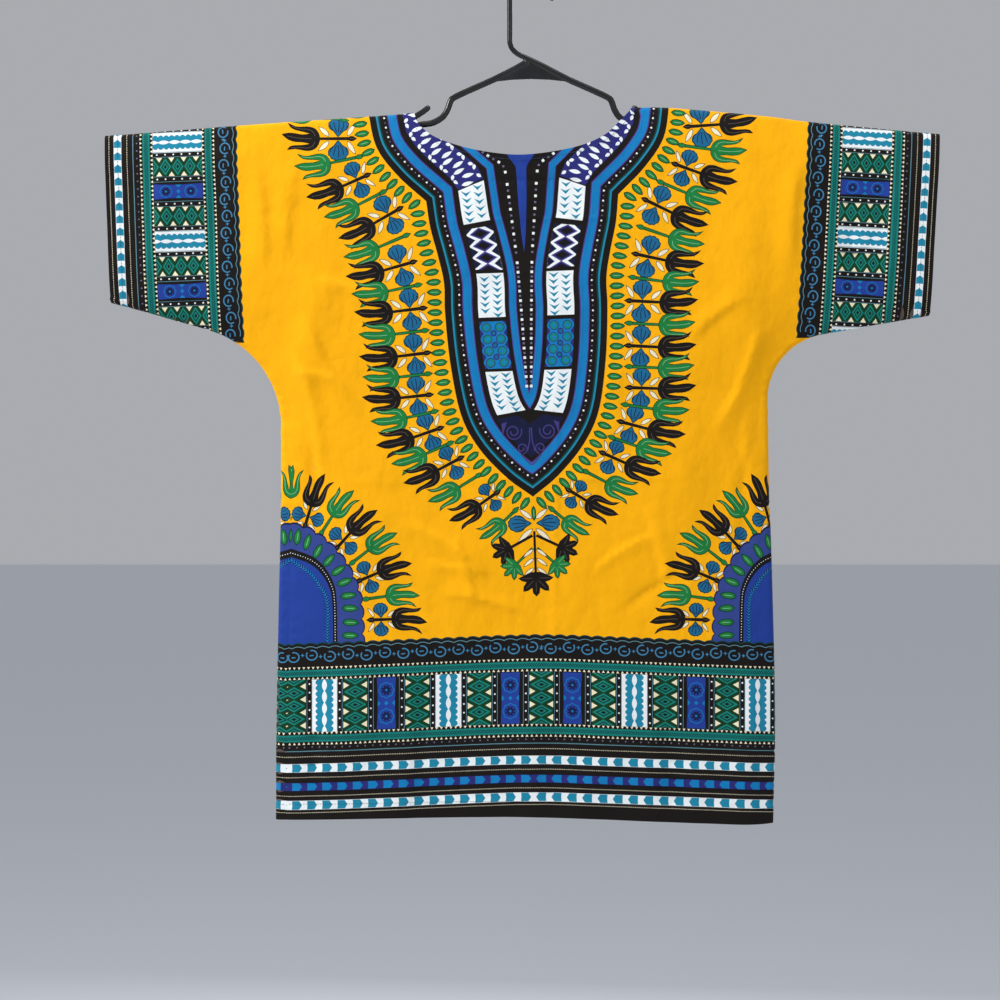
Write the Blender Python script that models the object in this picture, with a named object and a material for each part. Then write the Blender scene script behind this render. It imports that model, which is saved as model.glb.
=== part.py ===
"""A dashiki shirt on a plastic hanger, in metres.

The origin is the inner top of the hanger's hook, +Z is up and the shirt's front faces -Y.
The shirt is one length of cloth folded over at the shoulders and sewn up the sides, with its
sleeves cut on. It is built as a front and a back that meet along that fold and along the side
seams. Each is drawn flat, as cut, and then turned round the fold and the sides.
"""

import math

import bpy
import numpy as np
from mathutils import Vector
from mathutils.geometry import delaunay_2d_cdt

# Cloth
WALL = 0.0012
SEAM_GAP = 0.0004
FOLD_RADIUS = 0.006
FOLD_TURN = math.radians(78)
SEAM_SHIFT = 0.015
SHIFT_TOP = -0.44
SHIFT_FULL = -0.54

# Fineness of the faceted cloth
RIM_STEP = 0.026
FIELD_STEP = 0.037
RING_RUNS = (0.0032, 0.0064, 0.0105, 0.022, 0.044)
WRAP_RUNS = (-0.0032, -0.0064, -0.0105)
LAST_RING = 0.062
EDGE_CLEAR = 0.017
RING_CLEAR = 0.0022
CURVE_STEP = 0.004
EDGE_REACH = 0.03
SLOPE_STEP = 0.0004
CREASE_ANGLE = math.radians(50)

# Outline of the hanging shirt, seen from the front: x, z
LEFT_CUFF_TOP = (-0.459, -0.174)
LEFT_NECK = (-0.1264, -0.149)
LEFT_SHOULDER = (LEFT_CUFF_TOP, (-0.320, -0.163), (-0.163, -0.152), LEFT_NECK)
RIGHT_CUFF_TOP = (0.440, -0.172)
RIGHT_NECK = (0.109, -0.1436)
RIGHT_SHOULDER = (RIGHT_NECK, (0.151, -0.1436), (0.253, -0.1525), (0.304, -0.159), RIGHT_CUFF_TOP)
LEFT_CUFF_FOOT = (-0.4525, -0.353)
LEFT_ARMPIT = (-0.269, -0.405)
LEFT_ARMPIT_RADIUS = 0.110
LEFT_SIDE = ((-0.2695, -0.573), (-0.272, -0.687), (-0.2745, -0.823), (-0.2745, -0.910))
RIGHT_CUFF_FOOT = (0.429, -0.367)
RIGHT_ARMPIT = (0.254, -0.398)
RIGHT_ARMPIT_RADIUS = 0.072
RIGHT_SIDE = ((0.2565, -0.563), (0.259, -0.625), (0.263, -0.800), (0.2605, -0.9137))
NECKLINE = (
    (-0.1215, -0.161),
    (-0.1015, -0.177),
    (-0.060, -0.190),
    (-0.010, -0.1955),
    (0.043, -0.188),
    (0.077, -0.175),
    (0.0975, -0.156),
)
HEM = ((-0.1415, -0.907), (-0.002, -0.906), (0.1156, -0.910), (0.2257, -0.9145))

# Half of the distance between front and back: height, depth on the body
BODY_DEPTHS = ((-0.140, 0.0110), (-0.350, 0.0155), (-0.620, 0.0165), (-0.915, 0.0145))
BODY_MIDDLE = -0.008
SLEEVE_FROM = 0.24
SLEEVE_TO = 0.44
SLEEVE_DEPTH = 0.0095

# The largest folds: which panel, from x, z to x, z, half width and height outwards
# They fade in from FOLD_CLEAR to FOLD_CLEAR + FOLD_EASE of cloth away from a shoulder or side
FOLD_CLEAR = 0.012
FOLD_EASE = 0.030
FOLDS = (
    ("front", -0.217, -0.300, -0.262, -0.500, 0.020, 0.0030),
    ("front", 0.226, -0.235, 0.243, -0.470, 0.022, 0.0032),
    ("front", 0.190, -0.400, 0.205, -0.700, 0.026, -0.0025),
    ("front", -0.200, -0.930, -0.190, -0.700, 0.030, 0.0028),
    ("front", -0.060, -0.940, -0.070, -0.720, 0.034, -0.0024),
    ("front", 0.085, -0.940, 0.080, -0.680, 0.034, 0.0028),
    ("front", 0.200, -0.940, 0.190, -0.740, 0.026, -0.0022),
    ("back", -0.215, -0.290, -0.250, -0.490, 0.022, 0.0030),
    ("back", 0.215, -0.280, 0.238, -0.480, 0.022, 0.0028),
    ("back", -0.120, -0.940, -0.125, -0.640, 0.034, 0.0028),
    ("back", 0.030, -0.940, 0.020, -0.700, 0.036, -0.0024),
    ("back", 0.165, -0.940, 0.160, -0.620, 0.032, 0.0026),
)

# Hanger
TUBE_RADIUS = 0.00365
ARM_STEP = 0.006
TIP_STEP = 0.003
HOOK_STEP = 0.007
BAR_STEP = 0.11
TUBE_SIDES = 2
WELD = 0.00001
HOOK_TUBE_RADIUS = 0.003
HOOK_RADIUS = 0.023
HOOK_POINTS = 22
HOOK_OPENING = math.radians(-12)
STEM_FOOT = -0.066
STEM_TOP = -0.040
NECK_OF_STEM = ((-0.0222, -0.0740), (-0.0175, -0.0810), (-0.0105, -0.0867), (-0.0020, -0.0910))
LEFT_ARM = (
    (-0.0403, -0.1124),
    (-0.0805, -0.1305),
    (-0.0868, -0.1360),
    (-0.0897, -0.1440),
    (-0.0950, -0.1525),
    (-0.1060, -0.1590),
    (-0.1210, -0.1615),
    (-0.1400, -0.1680),
    (-0.2020, -0.1955),
    (-0.2120, -0.2020),
    (-0.2160, -0.2110),
    (-0.2125, -0.2190),
    (-0.2050, -0.2230),
    (-0.1950, -0.2230),
)
LEFT_STRAP_TIP = ((-0.1130, -0.1505), (-0.1160, -0.1560), (-0.1225, -0.1610), (-0.1310, -0.1650))
TIP_RADIUS = 0.00336
BAR_HEIGHT = -0.2230
BAR_HALF = 0.1945
WEB_THICKNESS = 0.0034
WEB_OUTLINE = (
    (-0.0385, -0.1084),
    (-0.0200, -0.0998),
    (-0.0062, -0.0940),
    (0.0062, -0.0940),
    (0.0200, -0.0998),
    (0.0385, -0.1084),
    (0.0385, -0.1150),
    (0.0200, -0.1122),
    (0.0, -0.1110),
    (-0.0200, -0.1122),
    (-0.0385, -0.1150),
)

CLOTH_YELLOW = (0.85, 0.43, 0.01, 1.0)
HANGER_BLACK = (0.012, 0.012, 0.013, 1.0)

# Cloth used up by the turn of a fold, beyond what shows from the front
FOLD_EXTRA = FOLD_RADIUS * (FOLD_TURN - 1 + math.cos(FOLD_TURN))


def clear_scene():
    for item in list(bpy.data.objects):
        bpy.data.objects.remove(item)


def make_material(name, colour, roughness):
    material = bpy.data.materials.new(name)
    material.use_nodes = True
    shader = material.node_tree.nodes["Principled BSDF"]
    shader.inputs["Base Color"].default_value = colour
    shader.inputs["Roughness"].default_value = roughness
    return material


def smooth_curve(points, step):
    """Points about step apart on a curve through all the given ones."""
    given = np.array(points, float)
    padded = np.vstack([2 * given[0] - given[1], given, 2 * given[-1] - given[-2]])
    found = [given[:1]]
    for a, b, c, d in zip(padded, padded[1:], padded[2:], padded[3:]):
        count = max(1, math.ceil(np.linalg.norm(c - b) / step))
        t = (np.arange(1, count + 1) / count)[:, None]
        bend = (2 * a - 5 * b + 4 * c - d) * t**2 + (3 * b - a - 3 * c + d) * t**3
        found.append(b + 0.5 * ((c - a) * t + bend))
    return np.vstack(found)


def armpit_line(cuff, corner, side, radius, step):
    """The underside of a sleeve, the round armpit and the side below it."""
    cuff = np.array(cuff)
    corner = np.array(corner)
    side = np.array(side)
    back = (cuff - corner) / np.linalg.norm(cuff - corner)
    down = (side[0] - corner) / np.linalg.norm(side[0] - corner)
    half = math.acos(float(back @ down)) / 2
    middle = corner + (back + down) / np.linalg.norm(back + down) * radius / math.sin(half)
    first = corner + back * radius / math.tan(half) - middle
    last = corner + down * radius / math.tan(half) - middle
    start = math.atan2(first[1], first[0])
    sweep = math.atan2(last[1], last[0]) - start
    sweep = (sweep + math.pi) % (2 * math.pi) - math.pi
    turns = start + sweep * np.linspace(0, 1, math.ceil(radius * abs(sweep) / step) + 1)
    arc = middle + radius * np.column_stack([np.cos(turns), np.sin(turns)])
    below = smooth_curve(np.vstack([arc[-1:], side]), step)[1:]
    count = math.ceil(np.linalg.norm(arc[0] - cuff) / step)
    above = cuff + (arc[0] - cuff) * np.linspace(0, 1, count + 1)[:-1, None]
    return np.vstack([above, arc, below])


class Rim:
    """A line where the cloth turns from front to back, with the way in to the cloth at each point."""

    def __init__(self, points, inside, first_way, last_way):
        self.points = points
        along = np.gradient(points, axis=0)
        along /= np.linalg.norm(along, axis=1)[:, None]
        ways = np.column_stack([-along[:, 1], along[:, 0]])
        middle = len(points) // 2
        if ways[middle] @ (np.array(inside) - points[middle]) < 0:
            ways = -ways
        ways[0] = first_way
        ways[-1] = last_way
        self.ways = ways / np.linalg.norm(ways, axis=1)[:, None]

    def moved(self, run):
        """The line at this run of cloth from the crest, on the cloth laid flat."""
        return self.points + self.ways * np.reshape(run - FOLD_EXTRA, (-1, 1))

    def nearest(self, places):
        """For each place: its distance in from the line, the line's nearest point and the way in."""
        first = self.points[:-1]
        step = self.points[1:] - first
        offset = places[:, None] - first
        share = np.clip((offset * step).sum(2) / (step**2).sum(1), 0, 1)
        gap = offset - step * share[:, :, None]
        best = (gap**2).sum(2).argmin(1)
        rows = np.arange(len(places))
        share = share[rows, best][:, None]
        way = self.ways[best] * (1 - share) + self.ways[best + 1] * share
        way /= np.linalg.norm(way, axis=1)[:, None]
        gap = gap[rows, best]
        foot = first[best] + step[best] * share
        return np.copysign(np.linalg.norm(gap, axis=1), (gap * way).sum(1)), foot, way


def unit(start, end):
    way = np.subtract(end, start)
    return way / np.linalg.norm(way)


def make_rims():
    """The two shoulder folds, and the two lines from cuff to hem under the arms."""
    left_cuff = unit(LEFT_CUFF_TOP, LEFT_CUFF_FOOT)
    right_cuff = unit(RIGHT_CUFF_TOP, RIGHT_CUFF_FOOT)
    left_under = armpit_line(LEFT_CUFF_FOOT, LEFT_ARMPIT, LEFT_SIDE, LEFT_ARMPIT_RADIUS, RIM_STEP)
    right_under = armpit_line(RIGHT_CUFF_FOOT, RIGHT_ARMPIT, RIGHT_SIDE, RIGHT_ARMPIT_RADIUS, RIM_STEP)
    middle = (BODY_MIDDLE, -0.4)
    return {
        "left shoulder": Rim(
            smooth_curve(LEFT_SHOULDER, RIM_STEP), middle, left_cuff, unit(LEFT_NECK, NECKLINE[0])
        ),
        "right shoulder": Rim(
            smooth_curve(RIGHT_SHOULDER, RIM_STEP), middle, unit(RIGHT_NECK, NECKLINE[-1]), right_cuff
        ),
        "left under": Rim(left_under, middle, -left_cuff, unit(LEFT_SIDE[-1], HEM[0])),
        "right under": Rim(right_under, middle, -right_cuff, unit(RIGHT_SIDE[-1], HEM[-1])),
    }


def eased(share):
    share = np.clip(share, 0, 1)
    return share * share * (3 - 2 * share)


def seam_shift(height):
    """How far the side seams have turned round from the sides, to the right of the front."""
    return SEAM_SHIFT * eased((SHIFT_TOP - height) / (SHIFT_TOP - SHIFT_FULL))


def open_edge(points, start, end, start_run, end_run):
    """Points along an open edge, from one fold's crest to the other, dense where the cloth turns."""
    fine = smooth_curve([tuple(start), *points, tuple(end)], CURVE_STEP)
    first = fine[0] + unit(fine[1], fine[0]) * EDGE_REACH
    last = fine[-1] + unit(fine[-2], fine[-1]) * EDGE_REACH
    fine = np.vstack([first, fine, last])
    lengths = np.r_[0, np.cumsum(np.linalg.norm(np.diff(fine, axis=0), axis=1))] - EDGE_REACH
    whole = lengths[-1] - EDGE_REACH
    inner = [run for run in WRAP_RUNS[::-1] + (0.0,) + RING_RUNS if run > start_run + RING_CLEAR]
    outer = [whole - run for run in RING_RUNS[::-1] + (0.0,) + WRAP_RUNS if run > end_run + RING_CLEAR]
    count = math.ceil((outer[0] - inner[-1]) / RIM_STEP)
    field = list(np.linspace(inner[-1], outer[0], count + 1)[1:-1])
    runs = [start_run] + inner + field + outer + [whole - end_run]
    return np.column_stack([np.interp(runs, lengths, fine[:, 0]), np.interp(runs, lengths, fine[:, 1])])


def panel_outline(rims, side):
    """The panel's outline on the cloth laid flat, with half the seam gap taken off all round."""
    turn = 1 if side == "front" else -1
    half = SEAM_GAP / 2
    left = half + turn * seam_shift(rims["left under"].points[:, 1])
    right = half - turn * seam_shift(rims["right under"].points[:, 1])
    crest = {name: rim.moved(0.0) for name, rim in rims.items()}
    top_left = rims["left shoulder"].moved(half)
    top_right = rims["right shoulder"].moved(half)
    neck = open_edge(NECKLINE, crest["left shoulder"][-1], crest["right shoulder"][0], half, half)
    right_cuff = open_edge((), crest["right shoulder"][-1], crest["right under"][0], half, half)
    hem = open_edge(HEM[::-1], crest["right under"][-1], crest["left under"][-1], right[-1], left[-1])
    left_cuff = open_edge((), crest["left under"][0], crest["left shoulder"][0], half, half)
    runs = (
        neck[:-1],
        top_right[:-1],
        right_cuff[:-1],
        rims["right under"].moved(right)[:-1],
        hem[:-1],
        rims["left under"].moved(left)[::-1][:-1],
        left_cuff[:-1],
        top_left[:-1],
    )
    return np.vstack(runs)


def inside_outline(places, outline):
    """Which places lie inside the closed outline."""
    ends = np.roll(outline, -1, axis=0)
    above = outline[:, 1] > places[:, None, 1]
    crossing = above != (ends[:, 1] > places[:, None, 1])
    rise = np.where(crossing, ends[:, 1] - outline[:, 1], 1)
    share = (places[:, None, 1] - outline[:, 1]) / rise
    at = outline[:, 0] + share * (ends[:, 0] - outline[:, 0])
    return (crossing & (places[:, None, 0] < at)).sum(1) % 2 == 1


def distance_to_outline(places, outline):
    step = np.roll(outline, -1, axis=0) - outline
    offset = places[:, None] - outline
    share = np.clip((offset * step).sum(2) / (step**2).sum(1), 0, 1)
    return np.sqrt(((offset - step * share[:, :, None]) ** 2).sum(2).min(1))


def panel_points(rims, outline):
    """Rings of points beside the folds and sides, and an even field of them between."""
    rings = [rim.moved(run)[1:-1] for rim in rims.values() for run in WRAP_RUNS + (0.0,) + RING_RUNS]
    rings = np.vstack(rings)
    rings = rings[inside_outline(rings, outline) & (distance_to_outline(rings, outline) > RING_CLEAR)]
    low = outline.min(0)
    high = outline.max(0)
    row_step = FIELD_STEP * math.sqrt(3) / 2
    rows = np.arange(low[1], high[1], row_step)
    columns = np.arange(low[0], high[0], FIELD_STEP)
    field = [(x + (j % 2) * FIELD_STEP / 2, z) for j, z in enumerate(rows) for x in columns]
    field = np.array(field)
    runs = np.min([rim.nearest(field)[0] for rim in rims.values()], axis=0) + FOLD_EXTRA
    clear = distance_to_outline(field, outline) > EDGE_CLEAR
    field = field[inside_outline(field, outline) & clear & (runs > LAST_RING)]
    return np.vstack([rings, field])


def full_depth(places):
    """Half of the distance between the middles of front and back, away from the folds."""
    heights, depths = zip(*BODY_DEPTHS[::-1])
    body = np.interp(places[:, 1], heights, depths)
    out = (np.abs(places[:, 0] - BODY_MIDDLE) - SLEEVE_FROM) / (SLEEVE_TO - SLEEVE_FROM)
    return body + (SLEEVE_DEPTH - body) * eased(out)


def fold_height(places, side):
    total = np.zeros(len(places))
    for panel, x0, z0, x1, z1, width, height in FOLDS:
        if panel != side:
            continue
        start = np.array((x0, z0))
        length = math.hypot(x1 - x0, z1 - z0)
        way = unit(start, (x1, z1))
        offset = places - start
        along = offset @ way / length
        across = offset @ np.array((-way[1], way[0])) / width
        ends = eased(along * 3) * eased((1 - along) * 3)
        total += height * ends * np.exp(-(across**2))
    return total


def hang(places, rims, side):
    """Turns places on the flat cloth into points of the hanging shirt."""
    found = [rim.nearest(places) for rim in rims.values()]
    best = np.argmin([np.abs(distance) for distance, _, _ in found], axis=0)
    rows = np.arange(len(places))
    distance = np.array([item[0] for item in found])[best, rows]
    foot = np.array([item[1] for item in found])[best, rows]
    way = np.array([item[2] for item in found])[best, rows]
    signed_run = distance + FOLD_EXTRA
    run = np.abs(signed_run)
    turned = np.clip(run / FOLD_RADIUS, 0, FOLD_TURN)
    inwards = FOLD_RADIUS * (1 - np.cos(turned))
    in_turn = run < FOLD_RADIUS * FOLD_TURN
    beyond = np.maximum(run - FOLD_RADIUS * FOLD_TURN, 0)
    moved = foot + way * (inwards + beyond)[:, None]
    seen = np.where((in_turn | (signed_run < 0))[:, None], moved, places)
    slope = 1 / math.tan(FOLD_TURN)
    rise_left = full_depth(seen) - FOLD_RADIUS * math.sin(FOLD_TURN)
    reach = 2 * rise_left / slope
    climb = np.minimum(beyond, reach)
    depth = FOLD_RADIUS * np.sin(turned) + slope * (climb - climb**2 / (2 * reach))
    own = fold_height(seen, side)
    other = fold_height(seen, "back" if side == "front" else "front")
    bump = np.where(signed_run < 0, other, own) * eased((run - FOLD_CLEAR) / FOLD_EASE)
    facing = -1 if side == "front" else 1
    y = facing * np.where(signed_run < 0, -1, 1) * (depth + bump)
    return np.column_stack([seen[:, 0], y, seen[:, 1]])


def normals_of(places, rims, side):
    """Which way the outside of the cloth faces, from small steps on the flat cloth."""
    along = hang(places + (SLOPE_STEP, 0), rims, side) - hang(places - (SLOPE_STEP, 0), rims, side)
    up = hang(places + (0, SLOPE_STEP), rims, side) - hang(places - (0, SLOPE_STEP), rims, side)
    normal = np.cross(along, up)
    normal /= np.linalg.norm(normal, axis=1)[:, None]
    return normal if side == "front" else -normal


def make_panel(name, rims, material):
    """One closed wall of cloth, from its outline on the flat cloth."""
    outline = panel_outline(rims, name)
    places = np.vstack([outline, panel_points(rims, outline)])
    border = list(range(len(outline)))
    flat, _, faces, _, _, _ = delaunay_2d_cdt([Vector(p) for p in places], [], [border], 1, 1e-7)
    flat = np.array([tuple(p) for p in flat])
    middle = hang(flat, rims, name)
    normal = normals_of(flat, rims, name)
    outer = middle + normal * WALL / 2
    inner = middle - normal * WALL / 2
    count = len(flat)
    edges = {}
    for face in faces:
        for a, b in zip(face, face[1:] + face[:1]):
            edges[(a, b)] = edges.get((b, a)) is None
            if not edges[(a, b)]:
                edges[(b, a)] = False
    rim = [edge for edge, single in edges.items() if single]
    outside = [tuple(face) for face in faces]
    inside = [tuple(count + i for i in reversed(face)) for face in faces]
    wall = [(b, a, count + a, count + b) for a, b in rim]
    mesh = bpy.data.meshes.new(name)
    mesh.from_pydata(np.vstack([outer, inner]).tolist(), [], outside + inside + wall)
    if name == "back":
        mesh.flip_normals()
    mesh.shade_smooth()
    mesh.set_sharp_from_angle(angle=CREASE_ANGLE)
    mesh.materials.append(material)
    panel = bpy.data.objects.new(name, mesh)
    bpy.context.collection.objects.link(panel)
    return panel


def make_tube(name, points, radius, material, step):
    """A round bar along a smooth line in the hanger's plane."""
    curve = bpy.data.curves.new(name, "CURVE")
    curve.dimensions = "3D"
    curve.bevel_depth = radius
    curve.bevel_resolution = TUBE_SIDES
    curve.use_fill_caps = True
    line = smooth_curve(points, step)
    spline = curve.splines.new("POLY")
    spline.points.add(len(line) - 1)
    for point, (x, z) in zip(spline.points, line):
        point.co = (x, 0, z, 1)
    curve.materials.append(material)
    tube = bpy.data.objects.new(name, curve)
    bpy.context.collection.objects.link(tube)
    return tube


def as_mesh(tube):
    """The same bar as a mesh, with its caps joined on, so that a Boolean can use it."""
    graph = bpy.context.evaluated_depsgraph_get()
    mesh = bpy.data.meshes.new_from_object(tube.evaluated_get(graph))
    name = tube.name
    bpy.data.objects.remove(tube)
    bar = bpy.data.objects.new(name, mesh)
    bpy.context.collection.objects.link(bar)
    weld = bar.modifiers.new("Weld", "WELD")
    weld.merge_threshold = WELD
    return bar


def make_arm(name, mirror, material):
    """One arm with its strap notch, its round end and the upturned tip beside the notch."""
    arm_line = [(mirror * x, z) for x, z in LEFT_ARM]
    bar = as_mesh(make_tube(name, arm_line, TUBE_RADIUS, material, ARM_STEP))
    tip_line = [(mirror * x, z) for x, z in LEFT_STRAP_TIP]
    tip = as_mesh(make_tube(name + "_tip_guide", tip_line, TIP_RADIUS, material, TIP_STEP))
    tip.hide_render = True
    tip.display_type = "WIRE"
    join = bar.modifiers.new("Join tip", "BOOLEAN")
    join.operation = "UNION"
    join.object = tip
    return bar


def make_web(material):
    """The flat web that joins the arms under the hook."""
    mesh = bpy.data.meshes.new("hanger_web")
    half = WEB_THICKNESS / 2
    count = len(WEB_OUTLINE)
    points = [(x, y, z) for y in (-half, half) for x, z in WEB_OUTLINE]
    faces = [tuple(range(count)), tuple(range(2 * count - 1, count - 1, -1))]
    for i in range(count):
        after = (i + 1) % count
        faces.append((i, i + count, after + count, after))
    mesh.from_pydata(points, [], faces)
    mesh.flip_normals()
    mesh.materials.append(material)
    web = bpy.data.objects.new("hanger_web", mesh)
    bpy.context.collection.objects.link(web)
    return web


def make_hook(material):
    """The open hook, its straight stem and the bend down to the web."""
    turns = np.linspace(HOOK_OPENING, math.pi, HOOK_POINTS)
    centre = HOOK_TUBE_RADIUS - HOOK_RADIUS
    loop = [(HOOK_RADIUS * math.cos(t), centre + HOOK_RADIUS * math.sin(t)) for t in turns]
    stem = [(-HOOK_RADIUS, STEM_TOP), (-HOOK_RADIUS, STEM_FOOT)]
    return make_tube("hanger_hook", loop + stem + list(NECK_OF_STEM), HOOK_TUBE_RADIUS, material, HOOK_STEP)


def make_hanger(material):
    make_hook(material)
    make_web(material)
    make_arm("hanger_arm_left", 1, material)
    make_arm("hanger_arm_right", -1, material)
    bar_line = [(-BAR_HALF, BAR_HEIGHT), (0, BAR_HEIGHT), (BAR_HALF, BAR_HEIGHT)]
    make_tube("hanger_bar", bar_line, TUBE_RADIUS, material, BAR_STEP)


def main():
    clear_scene()
    cloth = make_material("printed cotton", CLOTH_YELLOW, 0.75)
    plastic = make_material("black plastic", HANGER_BLACK, 0.35)
    rims = make_rims()
    make_panel("front", rims, cloth)
    make_panel("back", rims, cloth)
    make_hanger(plastic)


main()
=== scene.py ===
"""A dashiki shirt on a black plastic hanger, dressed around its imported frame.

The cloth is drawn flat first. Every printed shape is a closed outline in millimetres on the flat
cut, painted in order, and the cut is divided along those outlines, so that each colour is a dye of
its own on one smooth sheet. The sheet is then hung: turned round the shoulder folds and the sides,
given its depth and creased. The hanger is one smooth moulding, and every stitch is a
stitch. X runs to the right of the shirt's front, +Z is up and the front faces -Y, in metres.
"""

import logging
import math
from collections.abc import Callable, Sequence
from dataclasses import dataclass, field, replace
from enum import Enum

import bpy
import numpy as np
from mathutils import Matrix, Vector
from mathutils.geometry import delaunay_2d_cdt


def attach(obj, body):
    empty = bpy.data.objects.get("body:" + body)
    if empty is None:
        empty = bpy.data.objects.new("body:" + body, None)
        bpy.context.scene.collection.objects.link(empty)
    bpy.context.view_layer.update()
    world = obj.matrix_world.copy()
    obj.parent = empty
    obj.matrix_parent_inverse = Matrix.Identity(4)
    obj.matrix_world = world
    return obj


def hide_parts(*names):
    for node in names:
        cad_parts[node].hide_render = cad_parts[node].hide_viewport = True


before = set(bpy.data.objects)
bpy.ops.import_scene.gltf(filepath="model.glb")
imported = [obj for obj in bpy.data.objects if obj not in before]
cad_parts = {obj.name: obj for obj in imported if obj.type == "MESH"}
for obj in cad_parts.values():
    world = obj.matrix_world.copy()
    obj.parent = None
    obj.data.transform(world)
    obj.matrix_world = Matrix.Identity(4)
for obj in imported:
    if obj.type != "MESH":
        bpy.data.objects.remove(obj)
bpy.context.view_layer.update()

LOG = logging.getLogger("dashiki")
MM = 0.001
BODY = "root"
Points = np.ndarray
Run = Sequence[Sequence[float]]
Place = Callable[[Points], Points]


# ---------------------------------------------------------------- dyes and finishes


@dataclass(frozen=True)
class Dye:
    """One printed colour of the cotton: its hue as a hex code, its roughness and its nap."""

    hue: str
    roughness: float = 0.82
    sheen: float = 0.10


class Ink(Enum):
    """The dyes of the print."""

    GROUND = Dye("ffb300")
    BLACK = Dye("15100e", 0.74, 0.05)
    CHARCOAL = Dye("5d5148", 0.80, 0.06)
    GREEN = Dye("1b7c3c")
    DARK_GREEN = Dye("0d3a1c")
    PALE_GREEN = Dye("86c08d")
    TEAL = Dye("0f7f76")
    DEEP_TEAL = Dye("083f41")
    SLATE = Dye("5d8b96")
    BRIGHT = Dye("0e7cba")
    BLOSSOM = Dye("1a6690")
    NAVY = Dye("14193a")
    ROYAL = Dye("213f96")
    INDIGO = Dye("2b2c74")
    VIOLET = Dye("4b3f8e")
    DIM = Dye("6f6a86")
    CREAM = Dye("f2e8c6")
    WHITE = Dye("eef3f3")
    UMBER = Dye("4a2c12")
    LAGOON = Dye("1c86a4")
    WATER = Dye("3f7fa6")
    GRAPE = Dye("423a7a")
    IRIS = Dye("34468c")
    REVERSE = Dye("dca94a")


def linear(hue: str) -> tuple[float, float, float, float]:
    """Turns a hex colour into Blender's linear one.

    Args:
        hue: Six hex digits.

    Returns:
        Red, green, blue and alpha.
    """
    shares = [int(hue[i : i + 2], 16) / 255 for i in (0, 2, 4)]
    red, green, blue = (c / 12.92 if c <= 0.04045 else ((c + 0.055) / 1.055) ** 2.4 for c in shares)
    return red, green, blue, 1.0


def add_node(
    tree: bpy.types.NodeTree, kind: str, inputs: dict[str | int, object], **settings: object
) -> bpy.types.Node:
    """Adds a node to a tree.

    Args:
        tree: The tree.
        kind: The node's type.
        inputs: A socket to link or a value to set, for each of its inputs.
        settings: Its other settings.

    Returns:
        The node.
    """
    made = tree.nodes.new(kind)
    for name, value in settings.items():
        setattr(made, name, value)
    for name, value in inputs.items():
        if isinstance(value, bpy.types.NodeSocket):
            tree.links.new(value, made.inputs[name])
        else:
            made.inputs[name].default_value = value
    return made


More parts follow.
